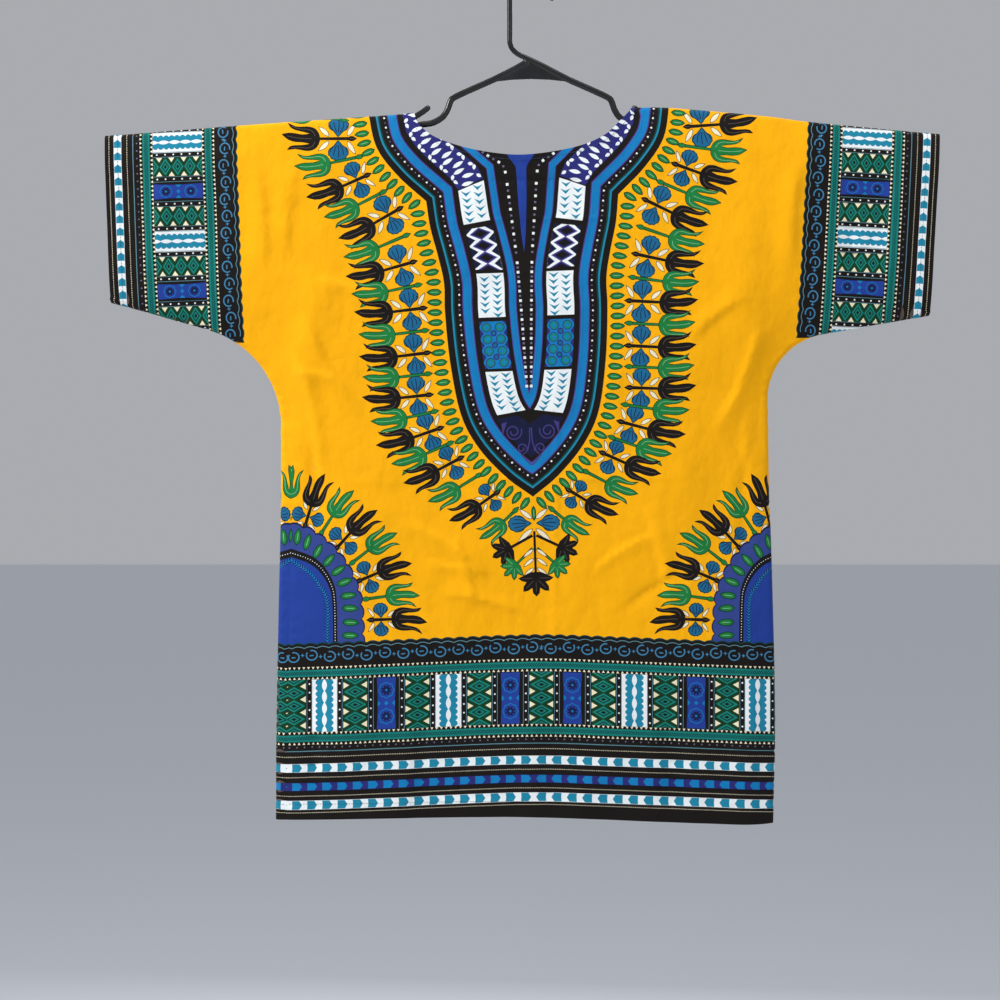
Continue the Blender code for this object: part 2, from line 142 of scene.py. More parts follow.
class Weave:
    """The surface of the cotton: its weave, its slubs and the soft crumple left by folding."""

    thread: float = 0.0009
    weave_height: float = 0.00005
    slub_height: float = 0.00009
    crumple_height: float = 0.0036

    def __init__(self) -> None:
        """Builds the node group once, for all the dyes."""
        self.tree = bpy.data.node_groups.new("printed cotton", "ShaderNodeTree")
        self.tree.interface.new_socket("Roughness", in_out="INPUT", socket_type="NodeSocketFloat")
        self.tree.interface.new_socket("Roughness", in_out="OUTPUT", socket_type="NodeSocketFloat")
        self.tree.interface.new_socket("Normal", in_out="OUTPUT", socket_type="NodeSocketVector")
        given = self.tree.nodes.new("NodeGroupInput").outputs["Roughness"]
        self.place = self.tree.nodes.new("ShaderNodeTexCoord").outputs["Object"]
        threads = self._maths("ADD", self._wave("X"), self._wave("Z"))
        slubs = self._maths("ADD", self._noise((45, 45, 900), 2), self._noise((800, 800, 38), 2))
        ridges = self._maths("ABSOLUTE", self._maths("SUBTRACT", self._noise((34, 34, 30), 2), 0.5))
        crumple = self._maths("ADD", self._noise((26, 26, 17), 3), self._maths("MULTIPLY", ridges, 0.5))
        normal = self._bump(crumple, self.crumple_height)
        normal = self._bump(slubs, self.slub_height, normal)
        normal = self._bump(threads, self.weave_height, normal)
        worn = self._maths("MULTIPLY_ADD", self._noise((14, 14, 14), 3), 0.10, -0.05)
        rough = self._maths("ADD", given, worn)
        add_node(self.tree, "NodeGroupOutput", {"Roughness": rough, "Normal": normal})

    def _maths(self, operation: str, *values: object) -> bpy.types.NodeSocket:
        """The result of a Math node on these sockets and numbers."""
        return add_node(self.tree, "ShaderNodeMath", dict(enumerate(values)), operation=operation).outputs[0]

    def _wave(self, direction: str) -> bpy.types.NodeSocket:
        """One set of parallel threads, a whole wave to each thread."""
        inputs = {"Scale": math.pi / 10 / self.thread, "Distortion": 0.6, "Vector": self.place}
        return add_node(self.tree, "ShaderNodeTexWave", inputs, bands_direction=direction).outputs["Fac"]

    def _noise(self, stretch: Sequence[float], detail: float) -> bpy.types.NodeSocket:
        """Noise with so many cells to the metre along each axis."""
        mapping = add_node(self.tree, "ShaderNodeMapping", {"Vector": self.place, "Scale": stretch})
        inputs = {"Scale": 1.0, "Detail": detail, "Vector": mapping.outputs["Vector"]}
        return add_node(self.tree, "ShaderNodeTexNoise", inputs).outputs["Fac"]

    def _bump(
        self, height: bpy.types.NodeSocket, distance: float, below: bpy.types.NodeSocket | None = None
    ) -> bpy.types.NodeSocket:
        """A bump of this height in metres, over the one below it."""
        inputs = {"Distance": distance, "Height": height}
        if below is not None:
            inputs["Normal"] = below
        return add_node(self.tree, "ShaderNodeBump", inputs).outputs["Normal"]

    def dyed(self, ink: Ink) -> bpy.types.Material:
        """The cotton in one dye.

        Args:
            ink: Which dye.

        Returns:
            The material, with its colour, nap and gloss on the shader's own sockets.
        """
        material = bpy.data.materials.new(f"cotton {ink.name.lower().replace('_', ' ')}")
        material.use_nodes = True
        tree = material.node_tree
        shader = tree.nodes["Principled BSDF"]
        shader.inputs["Base Color"].default_value = linear(ink.value.hue)
        shader.inputs["Specular IOR Level"].default_value = 0.14
        shader.inputs["Sheen Weight"].default_value = ink.value.sheen
        shader.inputs["Sheen Roughness"].default_value = 0.45
        cloth = add_node(tree, "ShaderNodeGroup", {"Roughness": ink.value.roughness}, node_tree=self.tree)
        tree.links.new(cloth.outputs["Roughness"], shader.inputs["Roughness"])
        tree.links.new(cloth.outputs["Normal"], shader.inputs["Normal"])
        return material


# ---------------------------------------------------------------- lines on the flat cloth


def unit(way: Sequence[float]) -> Points:
    """The same direction, one long."""
    return np.asarray(way, float) / np.linalg.norm(way)


def unit_rows(ways: Points) -> Points:
    """The same directions, a row each, each one long."""
    return ways / np.linalg.norm(ways, axis=1)[:, None]


def heading(turn: float) -> Points:
    """The way this many degrees to the right of forwards."""
    return np.array((math.sin(math.radians(turn)), math.cos(math.radians(turn))))


def beside(places: Points, start: Points, step: Points) -> tuple[Points, Points]:
    """How far along a stretch each place lies, from 0 to 1, and its gap from there."""
    offset = places - start
    share = np.clip((offset * step).sum(-1) / (step**2).sum(-1), 0, 1)[..., None]
    return share, offset - step * share


def eased(share: Points) -> Points:
    """A soft step from 0 to 1."""
    share = np.clip(share, 0, 1)
    return share * share * (3 - 2 * share)


def smooth_curve(points: Run, step: float) -> Points:
    """Reads points from a smooth curve through the given ones.

    Args:
        points: The points that the curve goes through.
        step: About how far apart the points read from it are.

    Returns:
        The points, a row each.
    """
    given = np.array(points, float)
    padded = np.vstack([2 * given[0] - given[1], given, 2 * given[-1] - given[-2]])
    found = [given[:1]]
    for a, b, c, d in zip(padded, padded[1:], padded[2:], padded[3:]):
        count = max(1, math.ceil(np.linalg.norm(c - b) / step))
        t = (np.arange(1, count + 1) / count)[:, None]
        bend = (2 * a - 5 * b + 4 * c - d) * t**2 + (3 * b - a - 3 * c + d) * t**3
        found.append(b + 0.5 * ((c - a) * t + bend))
    return np.vstack(found)


def mirrored(line: Points) -> Points:
    """The same line on the other side of the axis, run the other way."""
    return (line * (-1, 1))[::-1]


def lengths_along(line: Points) -> Points:
    """How far along a line each of its points is."""
    return np.r_[0, np.cumsum(np.linalg.norm(np.diff(line, axis=0), axis=1))]


def read_line(line: Points, at: Points) -> Points:
    """The points of a line at these lengths along it."""
    lengths = lengths_along(line)
    return np.column_stack([np.interp(at, lengths, line[:, 0]), np.interp(at, lengths, line[:, 1])])


def evenly(line: Points, pitch: float, start: float = 0.0) -> tuple[Points, Points]:
    """Stations at an even pitch along a line.

    Args:
        line: The line.
        pitch: The distance between two stations.
        start: Where the first one is.

    Returns:
        The stations, and which way the line runs at each.
    """
    at = np.arange(start, lengths_along(line)[-1], pitch)
    ahead = read_line(line, at + pitch / 2) - read_line(line, at - pitch / 2)
    return read_line(line, at), ahead / np.maximum(np.linalg.norm(ahead, axis=1), 1e-9)[:, None]


def side_ways(line: Points) -> Points:
    """The way square to a line at each of its points, to the left, longer at its corners."""
    step = unit_rows(np.diff(line, axis=0))
    left = np.column_stack([-step[:, 1], step[:, 0]])
    before = np.vstack([left[:1], left])
    after = np.vstack([left, left[-1:]])
    spread = np.maximum(1 + (before * after).sum(1), 0.35)
    return (before + after) / spread[:, None]


def band(line: Points, width: float) -> Points:
    """The outline of a stroke of this width along a line."""
    ways = side_ways(line) * width / 2
    return np.vstack([line + ways, (line - ways)[::-1]])


def signed_area(outline: Points) -> float:
    """A closed outline's area, below zero where it runs clockwise."""
    x, y = outline.T
    return float((x * np.roll(y, -1) - y * np.roll(x, -1)).sum() / 2)


def anticlockwise(outline: Points) -> Points:
    """The same closed outline, run anticlockwise."""
    return outline if signed_area(outline) > 0 else outline[::-1]


def inset(outline: Points, depth: float) -> Points:
    """A closed outline moved inwards by this depth."""
    outline = anticlockwise(outline)
    closed = np.vstack([outline[-1:], outline, outline[:1]])
    return outline + side_ways(closed)[1:-1] * depth


def arc(centre: Sequence[float], radius: float, start: float, end: float, count: int) -> Points:
    """Points on a round arc, its angles in degrees."""
    turns = np.radians(np.linspace(start, end, count))
    return np.asarray(centre) + radius * np.column_stack([np.cos(turns), np.sin(turns)])


def disc(centre: Sequence[float], radius: float, count: int = 6) -> Points:
    """A small round dot."""
    return arc(centre, radius, 0, 360, count + 1)[:-1]


def star(reach: float, waist: float) -> Points:
    """A star of four points about its middle."""
    ends = zip(np.arange(8) * math.pi / 4, (reach, waist) * 4)
    return np.array([(math.cos(turn) * out, math.sin(turn) * out) for turn, out in ends])


def both_halves(half: Points) -> Points:
    """A closed outline from its right half, which starts and ends on the axis."""
    return np.vstack([half, mirrored(half)[1:-1]])


# ---------------------------------------------------------------- drawing


@dataclass
class PrintSheet:
    """The printed shapes on the flat cloth, in millimetres, each painted over those before it."""

    outlines: list[Points] = field(default_factory=list)
    inks: list[Ink] = field(default_factory=list)

    def add(self, outline: Points, ink: Ink) -> None:
        """Paints one closed shape, unless it has no area."""
        if abs(signed_area(outline)) > 0.02:
            self.outlines.append(anticlockwise(outline))
            self.inks.append(ink)


@dataclass(frozen=True)
class Pen:
    """Draws on a sheet in its own frame: first number sideways, second forwards."""

    sheet: PrintSheet
    place: Place

    def fill(self, outline: Points | Run, ink: Ink) -> None:
        """Paints a closed outline."""
        self.sheet.add(self.place(np.asarray(outline, float)), ink)

    def line(self, points: Points | Run, width: float, ink: Ink) -> None:
        """Paints a stroke along a line."""
        self.sheet.add(band(self.place(np.asarray(points, float)), width), ink)

    def edged(self, outline: Points | Run, ink: Ink, edge: Ink, width: float) -> None:
        """Paints a shape with a darker edge inside its outline."""
        placed = self.place(np.asarray(outline, float))
        self.sheet.add(placed, edge)
        self.sheet.add(inset(placed, width), ink)

    def at(self, origin: Sequence[float], angle: float, scale: float = 1.0, flip: float = 1.0) -> "Pen":
        """A pen whose own frame is set somewhere in this one's.

        Args:
            origin: The new frame's origin.
            angle: The way of its second axis, in degrees.
            scale: Its size.
            flip: -1 to turn its first axis round.

        Returns:
            The new pen.
        """
        forward = np.array([math.cos(math.radians(angle)), math.sin(math.radians(angle))]) * scale
        side = np.array([forward[1], -forward[0]]) * flip
        start = np.asarray(origin, float)
        outer = self.place
        return Pen(self.sheet, lambda p: outer(start + p[:, :1] * side + p[:, 1:] * forward))

    def through(self, inner: Place) -> "Pen":
        """A pen whose points go through another mapping first."""
        outer = self.place
        return Pen(self.sheet, lambda p: outer(inner(p)))


@dataclass(frozen=True)
class Ladder:
    """Maps the unit square between two lines, as the rungs of a ladder."""

    left: Points
    right: Points

    def __call__(self, points: Points) -> Points:
        """Places points whose first number goes across and whose second goes along."""
        at = np.clip(points[:, 1], -0.5, 1.5)
        ends = [read_line(side, at * lengths_along(side)[-1]) for side in (self.left, self.right)]
        return ends[0] + (ends[1] - ends[0]) * points[:, :1]


# ---------------------------------------------------------------- motifs


@dataclass(frozen=True)
class Motifs:
    """The flowers, leaves and seeds of the print, each drawn from its foot, in millimetres."""

    edge: float = 0.75
    thread: float = 0.55
    lean: float = 2.6

    def leaf_outline(
        self, length: float, width: float, bend: float, count: int = 6, blunt: float = 0.8
    ) -> Points:
        """A pointed leaf from its foot to its tip.

        Args:
            length: From foot to tip.
            width: Across its middle.
            bend: How far its tip lies to the side.
            count: Points along each side.
            blunt: Below 1 for rounder ends.

        Returns:
            The closed outline.
        """
        share = np.linspace(0, 1, count + 1)
        half = width / 2 * np.sin(np.pi * share**0.85) ** blunt
        middle = bend * share**2
        up = np.column_stack([middle + half, length * share])
        down = np.column_stack([middle - half, length * share])[::-1][1:-1]
        return np.vstack([up, down])

    def cream_leaf(self, pen: Pen, length: float, width: float, bend: float) -> None:
        """A small cream leaf with a brown edge."""
        pen.edged(self.leaf_outline(length, width, bend), Ink.CREAM, Ink.UMBER, 0.6)

    def seed(self, pen: Pen, length: float, width: float, count: int = 6) -> None:
        """A green seed with a dark rough edge and a pale rib, about its middle."""
        low = pen.at((0, -length / 2), 90)
        low.edged(self.leaf_outline(length, width, 0.4, count, 0.58), Ink.GREEN, Ink.DARK_GREEN, 1.0)
        low.line([(0.1, length * 0.28), (0.3, length * 0.72)], 0.7, Ink.PALE_GREEN)

    def _petals(self, lean: float) -> Points:
        """The outline of a tulip with three flame-shaped petals."""
        runs = (
            ((0.0, -1.0), (5.4, 0.4), (10.0, 4.0), (12.0, 10.0), (11.6, 17.0), (11.2, 23.0), (13.8, 31.0)),
            ((13.8, 31.0), (9.4, 28.0), (7.4, 23.0), (6.6, 17.0), (5.0, 9.5)),
            ((5.0, 9.5), (3.9, 16.0), (4.3, 22.3), (3.6, 29.5), (0.0, 36.5)),
        )
        half = np.vstack([smooth_curve(run, 4.2)[:-1] for run in runs] + [[(0.0, 36.5)]])
        whole = both_halves(half)
        return self._leaning(whole, lean)

    def _leaning(self, points: Points, lean: float) -> Points:
        """The same points swept over to one side towards their tips."""
        return points + np.column_stack([lean * (np.maximum(points[:, 1], 0) / 30) ** 3, 0 * points[:, 1]])

    def tulip(self, pen: Pen, green: bool, length: float, lean_way: float) -> None:
        """A tulip head from its cup's foot.

        Args:
            pen: The pen, its second axis along the flower.
            green: True for a green flower, False for a black one.
            length: From the foot of the cup to the middle tip.
            lean_way: Which way its tips sweep, from -1 to 1.
        """
        sized = pen.at((0, 0), 90, length / 35.5)
        lean = self.lean * lean_way
        vein = Ink.PALE_GREEN if green else Ink.CHARCOAL
        if green:
            sized.edged(self._petals(lean), Ink.GREEN, Ink.DARK_GREEN, self.edge)
        else:
            sized.fill(self._petals(lean), Ink.BLACK)
        side = np.array(((2.8, 4.2), (7.2, 6.4), (9.3, 12.0), (9.1, 18.0), (10.6, 27.0)))
        ribs = (((0.0, 7.5), (0.1, 17.0), (-0.1, 31.0)), side, side * (-1, 1))
        for rib in ribs:
            sized.line(self._leaning(smooth_curve(rib, 4.0), lean), self.thread, vein)

    def stem(self, pen: Pen, green: bool, length: float) -> None:
        """A stem with a diamond bud at its foot."""
        ink = Ink.GREEN if green else Ink.BLACK
        edge = Ink.DARK_GREEN if green else Ink.BLACK
        pen.fill([(1.9, 3), (1.5, length + 1), (-1.5, length + 1), (-1.9, 3)], edge)
        bud = [(0, -4.8), (2.6, -0.6), (2.9, 2.4), (1.3, 5.4), (-1.3, 5.4), (-2.9, 2.4), (-2.6, -0.6)]
        if green:
            pen.line([(0, 3), (0, length + 1)], 1.9, ink)
            pen.edged(bud, ink, edge, self.edge)
        else:
            pen.fill(bud, ink)
            pen.line([(0, -1.5), (0, 3.0)], 0.6, Ink.CHARCOAL)

    def blossom(self, pen: Pen, length: float, width: float) -> None:
        """A blue fan-shaped blossom that opens forwards from its narrow foot, with dark veins."""
        run = (
            (0.0, 0.0), (1.6, 1.6), (4.4, 5.4), (7.6, 7.6), (9.2, 11.6), (7.9, 15.4), (4.4, 18.9), (0.0, 19.8)
        )
        half = smooth_curve(run, 2.6)
        lobes = np.where((half[:, 1] > 7)[:, None], 0.022 * np.cos(np.arange(len(half)) * np.pi)[:, None], 0)
        half = half * (1 + lobes)
        half[[0, -1], 0] = 0
        size = np.array((width / 18.4, length / 19.8))
        pen.edged(both_halves(half) * size, Ink.BLOSSOM, Ink.DEEP_TEAL, 1.1)
        for turn in (-33, -17, 0, 17, 33):
            way = heading(turn)
            bowed = np.array((way[0] * 1.25 + 0.05, way[1]))
            vein = np.vstack([way * 5.0, bowed * 10.0, way * (16.5 - abs(turn) / 12)])
            pen.line(vein * size, 0.85, Ink.NAVY)

    def rosette(self, pen: Pen, green: bool, reach: float) -> None:
        """A small flower of five pointed lobes that opens forwards."""
        half: list[tuple[float, float]] = []
        shares = (1.0, 0.84, 0.58, 0.82, 1.0, 0.82, 0.56, 0.78, 0.95, 0.60, 0.42)
        for turn, share in zip((0, 12, 22, 33, 44, 56, 67, 79, 90, 108, 138), shares):
            half.append(tuple(heading(turn) * reach * share))
        outline = both_halves(np.array([(0.0, -reach * 0.32)] + half[::-1]))
        if green:
            pen.edged(outline, Ink.GREEN, Ink.DARK_GREEN, self.edge)
        else:
            pen.fill(outline, Ink.BLACK)
        for turn in (-88, -44, 0, 44, 88):
            way = heading(turn)
            vein = np.vstack([way * reach * 0.2, way * reach * 0.75])
            pen.line(vein, 0.45, Ink.PALE_GREEN if green else Ink.CHARCOAL)


MOTIFS = Motifs()


# ---------------------------------------------------------------- the print, in millimetres


@dataclass(frozen=True)
class YokePrint:
    """The dark pointed yoke round the neck, with its stripes, boxes, slit and scrolls."""

    top_run: Run = ((166, -75), (162, -50), (154, -12), (132.5, 19), (103, 47.5))
    low_run: Run = (
        (103, 47.5), (99.5, 76.5), (92.5, 106.5), (87, 136), (87, 170), (83, 225), (73.6, 278.4),
        (56, 314), (28, 346), (0, 368),
    )
    bands: tuple[tuple[float, Ink], ...] = (
        (0.0, Ink.BLACK), (7.0, Ink.LAGOON), (9.0, Ink.DEEP_TEAL), (10.6, Ink.BLACK), (19.0, Ink.VIOLET),
        (20.2, Ink.BRIGHT), (28.4, Ink.VIOLET), (29.7, Ink.BLACK), (68.6, Ink.VIOLET),
        (69.6, Ink.BRIGHT), (76.0, Ink.VIOLET), (77.2, Ink.BLACK),
    )
    axis_x: float = -11.4
    axis_z: float = -194.4
    tilt: float = 0.036
    column: tuple[float, float] = (35.6, 64.3)
    pinhole_pitch: float = 2.6

    def place(self, points: Points) -> Points:
        """From the yoke's own frame, sideways and down, to the flat cloth."""
        across, down = points.T
        x = self.axis_x + across + self.tilt * down
        return np.column_stack([x, self.axis_z + self.tilt * across - down])

    def edge(self, offset: float) -> Points:
        """The yoke's right edge moved inwards, from the shoulder to the axis."""
        base = np.vstack([smooth_curve(self.top_run, 7.0), smooth_curve(self.low_run, 7.0)[1:]])
        moved = base + side_ways(base) * offset
        _, gap = beside(moved[:, None], base[:-1], np.diff(base, axis=0))
        apart = np.linalg.norm(gap, axis=2).min(1)
        moved = moved[apart > offset - 0.3]
        inside = np.flatnonzero(moved[:, 0] > 0.01)[-1]
        if inside + 1 == len(moved):
            after = moved[inside] + (moved[inside] - moved[inside - 1]) * 9
        else:
            after = moved[inside + 1]
        share = moved[inside, 0] / max(moved[inside, 0] - after[0], 0.01)
        last = moved[inside] + (after - moved[inside]) * share
        last[0] = 0.0
        return np.vstack([moved[: inside + 1], last])

    def run_of(self, line: Points, low: float, high: float, count: int = 9) -> Points:
        """The stretch of a line between two heights."""
        ends = np.interp((low, high), line[:, 1], lengths_along(line))
        return read_line(line, np.linspace(*ends, count))

    def draw(self, sheet: PrintSheet) -> None:
        """Paints the whole yoke."""
        pen = Pen(sheet, self.place)
        for offset, ink in self.bands:
            half = self.edge(offset)[::-1]
            pen.fill(both_halves(half), ink)
        self._wedge(pen)
        self._panel(pen)
        for side in (1, -1):
            half = pen.through(lambda p, side=side: p * (side, 1))
            self._pinholes(half)
            self._dots(half)
            self._squares(half)
            self._boxes(half)
            self._scrolls(half)

    def _pinholes(self, pen: Pen) -> None:
        """Fine dark specks along the bright stripes."""
        for offset, last in ((26.2, 1.0), (74.0, 1.0)):
            places, _ = evenly(self.edge(offset), self.pinhole_pitch, 2.0)
            for spot in places[places[:, 0] > last]:
                pen.fill(disc(spot, 0.45, 4), Ink.NAVY)

    def _dots(self, pen: Pen) -> None:
        """White dots with dim ones between them, inside the teal line."""
        places, _ = evenly(self.edge(15.7), 5.4, 1.0)
        for number, spot in enumerate(places):
            white = number % 2 == 0
            pen.fill(disc(spot, 1.15 if white else 0.75), Ink.WHITE if white else Ink.DIM)

    def _wedge(self, pen: Pen) -> None:
        """The royal blue slit of plain cloth between the two neck stripes."""
        half = smooth_curve(((20, -8), (12, 5), (6.2, 13), (5.5, 17), (4.5, 50), (2.4, 85), (0, 105.6)), 12)
        top = np.array([(0.0, -8.0)])
        pen.fill(both_halves(np.vstack([top, half])), Ink.ROYAL)

    def _squares(self, pen: Pen) -> None:
        """The rows of small white squares beside the slit."""
        upper = np.array(((16.2, 26.0), (8.1, 112.0)))
        lower = smooth_curve(((8.1, 112), (5.0, 177), (2.4, 250)), 8)
        neck = smooth_curve(((16.2, 26), (19.5, 12), (34, 2), (52, -12)), 6)
        for line, pitch in ((upper, 6.7), (lower, 5.1), (neck, 6.7)):
            places, ways = evenly(line, pitch, pitch)
            for number, (spot, way) in enumerate(zip(places, ways)):
                size = 1.4 if number % 2 == 0 else 1.1
                across = np.array((-way[1], way[0]))
                square = ((-1, -1), (1, -1), (1, 1), (-1, 1))
                corners = [spot + way * size * a + across * size * b for a, b in square]
                pen.fill(corners, Ink.WHITE if number % 2 == 0 else Ink.DIM)

    def _ladder(self, outer: tuple[float, float], inner: tuple[float, float]) -> Ladder:
        """A box of the column, from its outer edge's heights and its inner edge's."""
        first, second = (self.edge(offset) for offset in self.column)
        return Ladder(self.run_of(first, *outer), self.run_of(second, *inner))

    def _box(self, pen: Pen, ladder: Ladder, ink: Ink) -> Pen:
        """Paints a box's ground and returns a pen in its own frame, from 0 to 1 both ways."""
        pen.fill(np.vstack([ladder.left, ladder.right[::-1]]), ink)
        return pen.through(ladder)

    def _boxes(self, pen: Pen) -> None:
        """The column of printed boxes from the shoulder to the scrolls."""
        self._spindles(pen, self._ladder((-90, 36.3), (-90, 25)))
        for outer, inner in (
            ((37.6, 74.4), (27.0, 70.2)), ((127.3, 174.6), (127.3, 174.6)), ((232.9, 279.6), (232.9, 275.0))
        ):
            self._chevrons(pen, self._ladder(outer, inner))
        self._diamonds(pen, self._ladder((79.8, 123), (76, 124)))
        self._lattice(pen, self._ladder((179, 229.7), (179, 229.7)))

    def _spindles(self, pen: Pen, ladder: Ladder) -> None:
        """The indigo shoulder box, with two rows of white spindles and small drops at its edges."""
        self._box(pen, ladder, Ink.INDIGO)
        long_side = lengths_along(ladder.left)[-1]
        rows = (
            (0.41, 4.0, 76, 13.6, 4.6), (0.58, 12.2, 76, 13.6, 4.6), (0.09, 8.0, -42, 6.2, 3.8),
            (0.09, 13.8, 19, 6.2, 3.8), (0.91, 1.0, 35, 6.2, 3.8), (0.91, 6.6, -30, 6.2, 3.8),
        )
        for share, phase, lean, length, width in rows:
            stations = np.arange(phase, long_side - 2, 16.4) / long_side
            line = np.full(len(stations), share)
            places = ladder(np.column_stack([line, stations]))
            onwards = ladder(np.column_stack([line, stations + 0.02])) - places
            for spot, way in zip(places, onwards):
                turn = math.degrees(math.atan2(way[1], way[0])) + lean
                shape = MOTIFS.leaf_outline(length, width, 0.3, 4) - (0, length / 2)
                pen.at(spot, turn).fill(shape, Ink.WHITE)

    def _chevrons(self, pen: Pen, ladder: Ladder) -> None:
        """A white box with two columns of blue arrowheads that point down."""
        self._box(pen, ladder, Ink.WHITE)
        height = lengths_along(ladder.left)[-1]
        arrow = np.array(((-5.6, -2.8), (0, -0.4), (5.6, -2.8), (0, 3.3)))
        for share, shift in ((0.27, 0.35), (0.73, 0.05)):
            for at in np.arange(3.6 + shift * 6.8, height - 2.0, 6.8):
                spot = ladder(np.array([(share, at / height)]))[0]
                pen.fill(spot + arrow, Ink.LAGOON)

    def _diamonds(self, pen: Pen, ladder: Ladder) -> None:
        """A box of dark diamonds down the middle, white zigzags and small triangles at the edges."""
        box = self._box(pen, ladder, Ink.WHITE)
        for number in range(4):
            middle = number / 3.5
            for side in (0.0, 1.0):
                inwards = 1 - 2 * side
                low, high = np.clip((middle - 0.125, middle + 0.125), 0, 1)
                point = (side + inwards * 0.26, np.clip(middle, 0, 1))
                box.fill([(side, low), point, (side, high)], Ink.NAVY)
        for number in range(4):
            middle = (number + 0.5) / 3.5
            nested = ((0.40, 0.150, Ink.VIOLET), (0.31, 0.112, Ink.NAVY), (0.20, 0.072, Ink.BLACK))
            for reach, tall, ink in nested:
                top, foot = np.clip((middle - tall, middle + tall), 0, 1)
                if middle > 0.95:
                    top, foot = middle - tall, 1.0
                level = min(middle, 1)
                outline = [(0.5 - reach, level), (0.5, top), (0.5 + reach, level), (0.5, foot)]
                if middle > 0.95:
                    outline = outline[:3]
                box.fill(outline, ink)

    def _lattice(self, pen: Pen, ladder: Ladder) -> None:
        """A blue box of linked rings round teal crosses."""
        box = self._box(pen, ladder, Ink.BRIGHT)
        rows = 4
        for row in range(rows + 1):
            for column in (0.0, 0.5, 1.0):
                spot = ladder(np.array([(column, row / rows)]))[0]
                if 0 < row < rows and column == 0.5:
                    pen.fill(disc(spot, 3.6, 8), Ink.INDIGO)
                    pen.fill(disc(spot, 2.2, 6), Ink.BLOSSOM)
                elif column != 0.5:
                    inwards = 1 if column == 0 else -1
                    low, high = max(row / rows - 0.1, 0), min(row / rows + 0.1, 1)
                    tip = (column + inwards * 0.13, row / rows)
                    box.fill([(column, low), tip, (column, high)], Ink.INDIGO)
        for row in range(rows):
            for column in (0.25, 0.75):
                spot = ladder(np.array([(column, (row + 0.5) / rows)]))[0]
                pen.fill(disc(spot, 5.4, 10), Ink.INDIGO)
                pen.fill(disc(spot, 4.5, 10), Ink.TEAL)
                pen.fill(spot + star(3.6, 1.5), Ink.BRIGHT)

    def _panel(self, pen: Pen) -> None:
        """The navy ground of the scrolls, below the boxes and inside the stripes."""
        inner = self.edge(33.5)
        side = self.run_of(inner, 284.0, inner[-1, 1], 8)[::-1]
        side[0, 0] = 0.0
        half = np.vstack([side, [(13, 280.5)], [(5, 286.5)], [(0.0, 290.0)]])
        pen.fill(both_halves(half), Ink.NAVY)

    def _scrolls(self, pen: Pen) -> None:
        """The violet spirals on one side of the navy ground."""
        spirals = (((18.5, 298), 9.3, 200, 1.6, -1), ((10.0, 316), 6.2, 100, 1.3, 1))
        for centre, radius, start, turns, way in spirals:
            angles = np.radians(start + way * 360 * turns * np.linspace(0, 1, 20))
            radii = radius * np.linspace(1, 0.28, 20)
            spiral = np.asarray(centre) + np.column_stack([np.cos(angles), np.sin(angles)]) * radii[:, None]
            pen.line(spiral, 1.3, Ink.GRAPE)
        pen.line([(0.9, 294), (1.4, 308), (4.0, 319)], 1.3, Ink.GRAPE)
        pen.line([(11.5, 322), (5.5, 329), (0.4, 334)], 1.4, Ink.GRAPE)
        pen.fill([(31, 289), (25, 287), (28, 295), (30.0, 303)], Ink.GRAPE)


@dataclass(frozen=True)
class FlowerStation:
    """One flower of a ring: where its bud is, which way it grows and how long its stem is."""

    across: float
    along: float
    angle: float
    stem: float


@dataclass(frozen=True)
class FlowerRing:
    """Tulips, black and green by turns, with blossoms and cream leaves on the black stems.

    A row of its stations is a step, then that flower's place, angle and stem.
    """

    stations: Run
    first: int
    last: int
    length: float = 35.0
    sturdy: float = 34.0

    def station(self, step: int) -> FlowerStation:
        """One flower's station, read between the ones given."""
        steps, *columns = np.array(self.stations).T
        return FlowerStation(*(float(np.interp(step, steps, column)) for column in columns))

    def draw(self, pen: Pen, side: float, black_when: int) -> None:
        """Paints the flowers of one side.

        Args:
            pen: The pen.
            side: 1 or -1, for which way the tips sweep.
            black_when: The remainder by two of the steps that are black.
        """
        for step in range(self.first, self.last + 1):
            spot = self.station(step)
            own = pen.at((spot.across, spot.along), spot.angle)
            if step % 2 == black_when:
                self._sprigs(own, spot.stem / self.sturdy)
        for step in range(self.first, self.last + 1):
            spot = self.station(step)
            own = pen.at((spot.across, spot.along), spot.angle)
            green = step % 2 != black_when
            MOTIFS.stem(own, green, spot.stem)
            length = self.length * (0.97 if green else 1.02) * min(1.0, 0.62 + spot.stem / 80)
            MOTIFS.tulip(own.at((0, spot.stem), 90), green, length, side)

    def _sprigs(self, pen: Pen, scale: float) -> None:
        """The two blossoms and the four cream leaves of one black stem."""
        for way in (1, -1):
            half = pen.at((0, 0), 90, 1.0, way)
            MOTIFS.blossom(half.at((1.6, 15 * scale), -2), 21.5 * scale, 21.5 * scale)
            MOTIFS.cream_leaf(half.at((2.4, 5.5 * scale), -24), 16.5 * scale, 5.4 * scale, 2.2)
            MOTIFS.cream_leaf(half.at((2.2, 24 * scale), 40), 15.5 * scale, 5.6 * scale, -1.8)


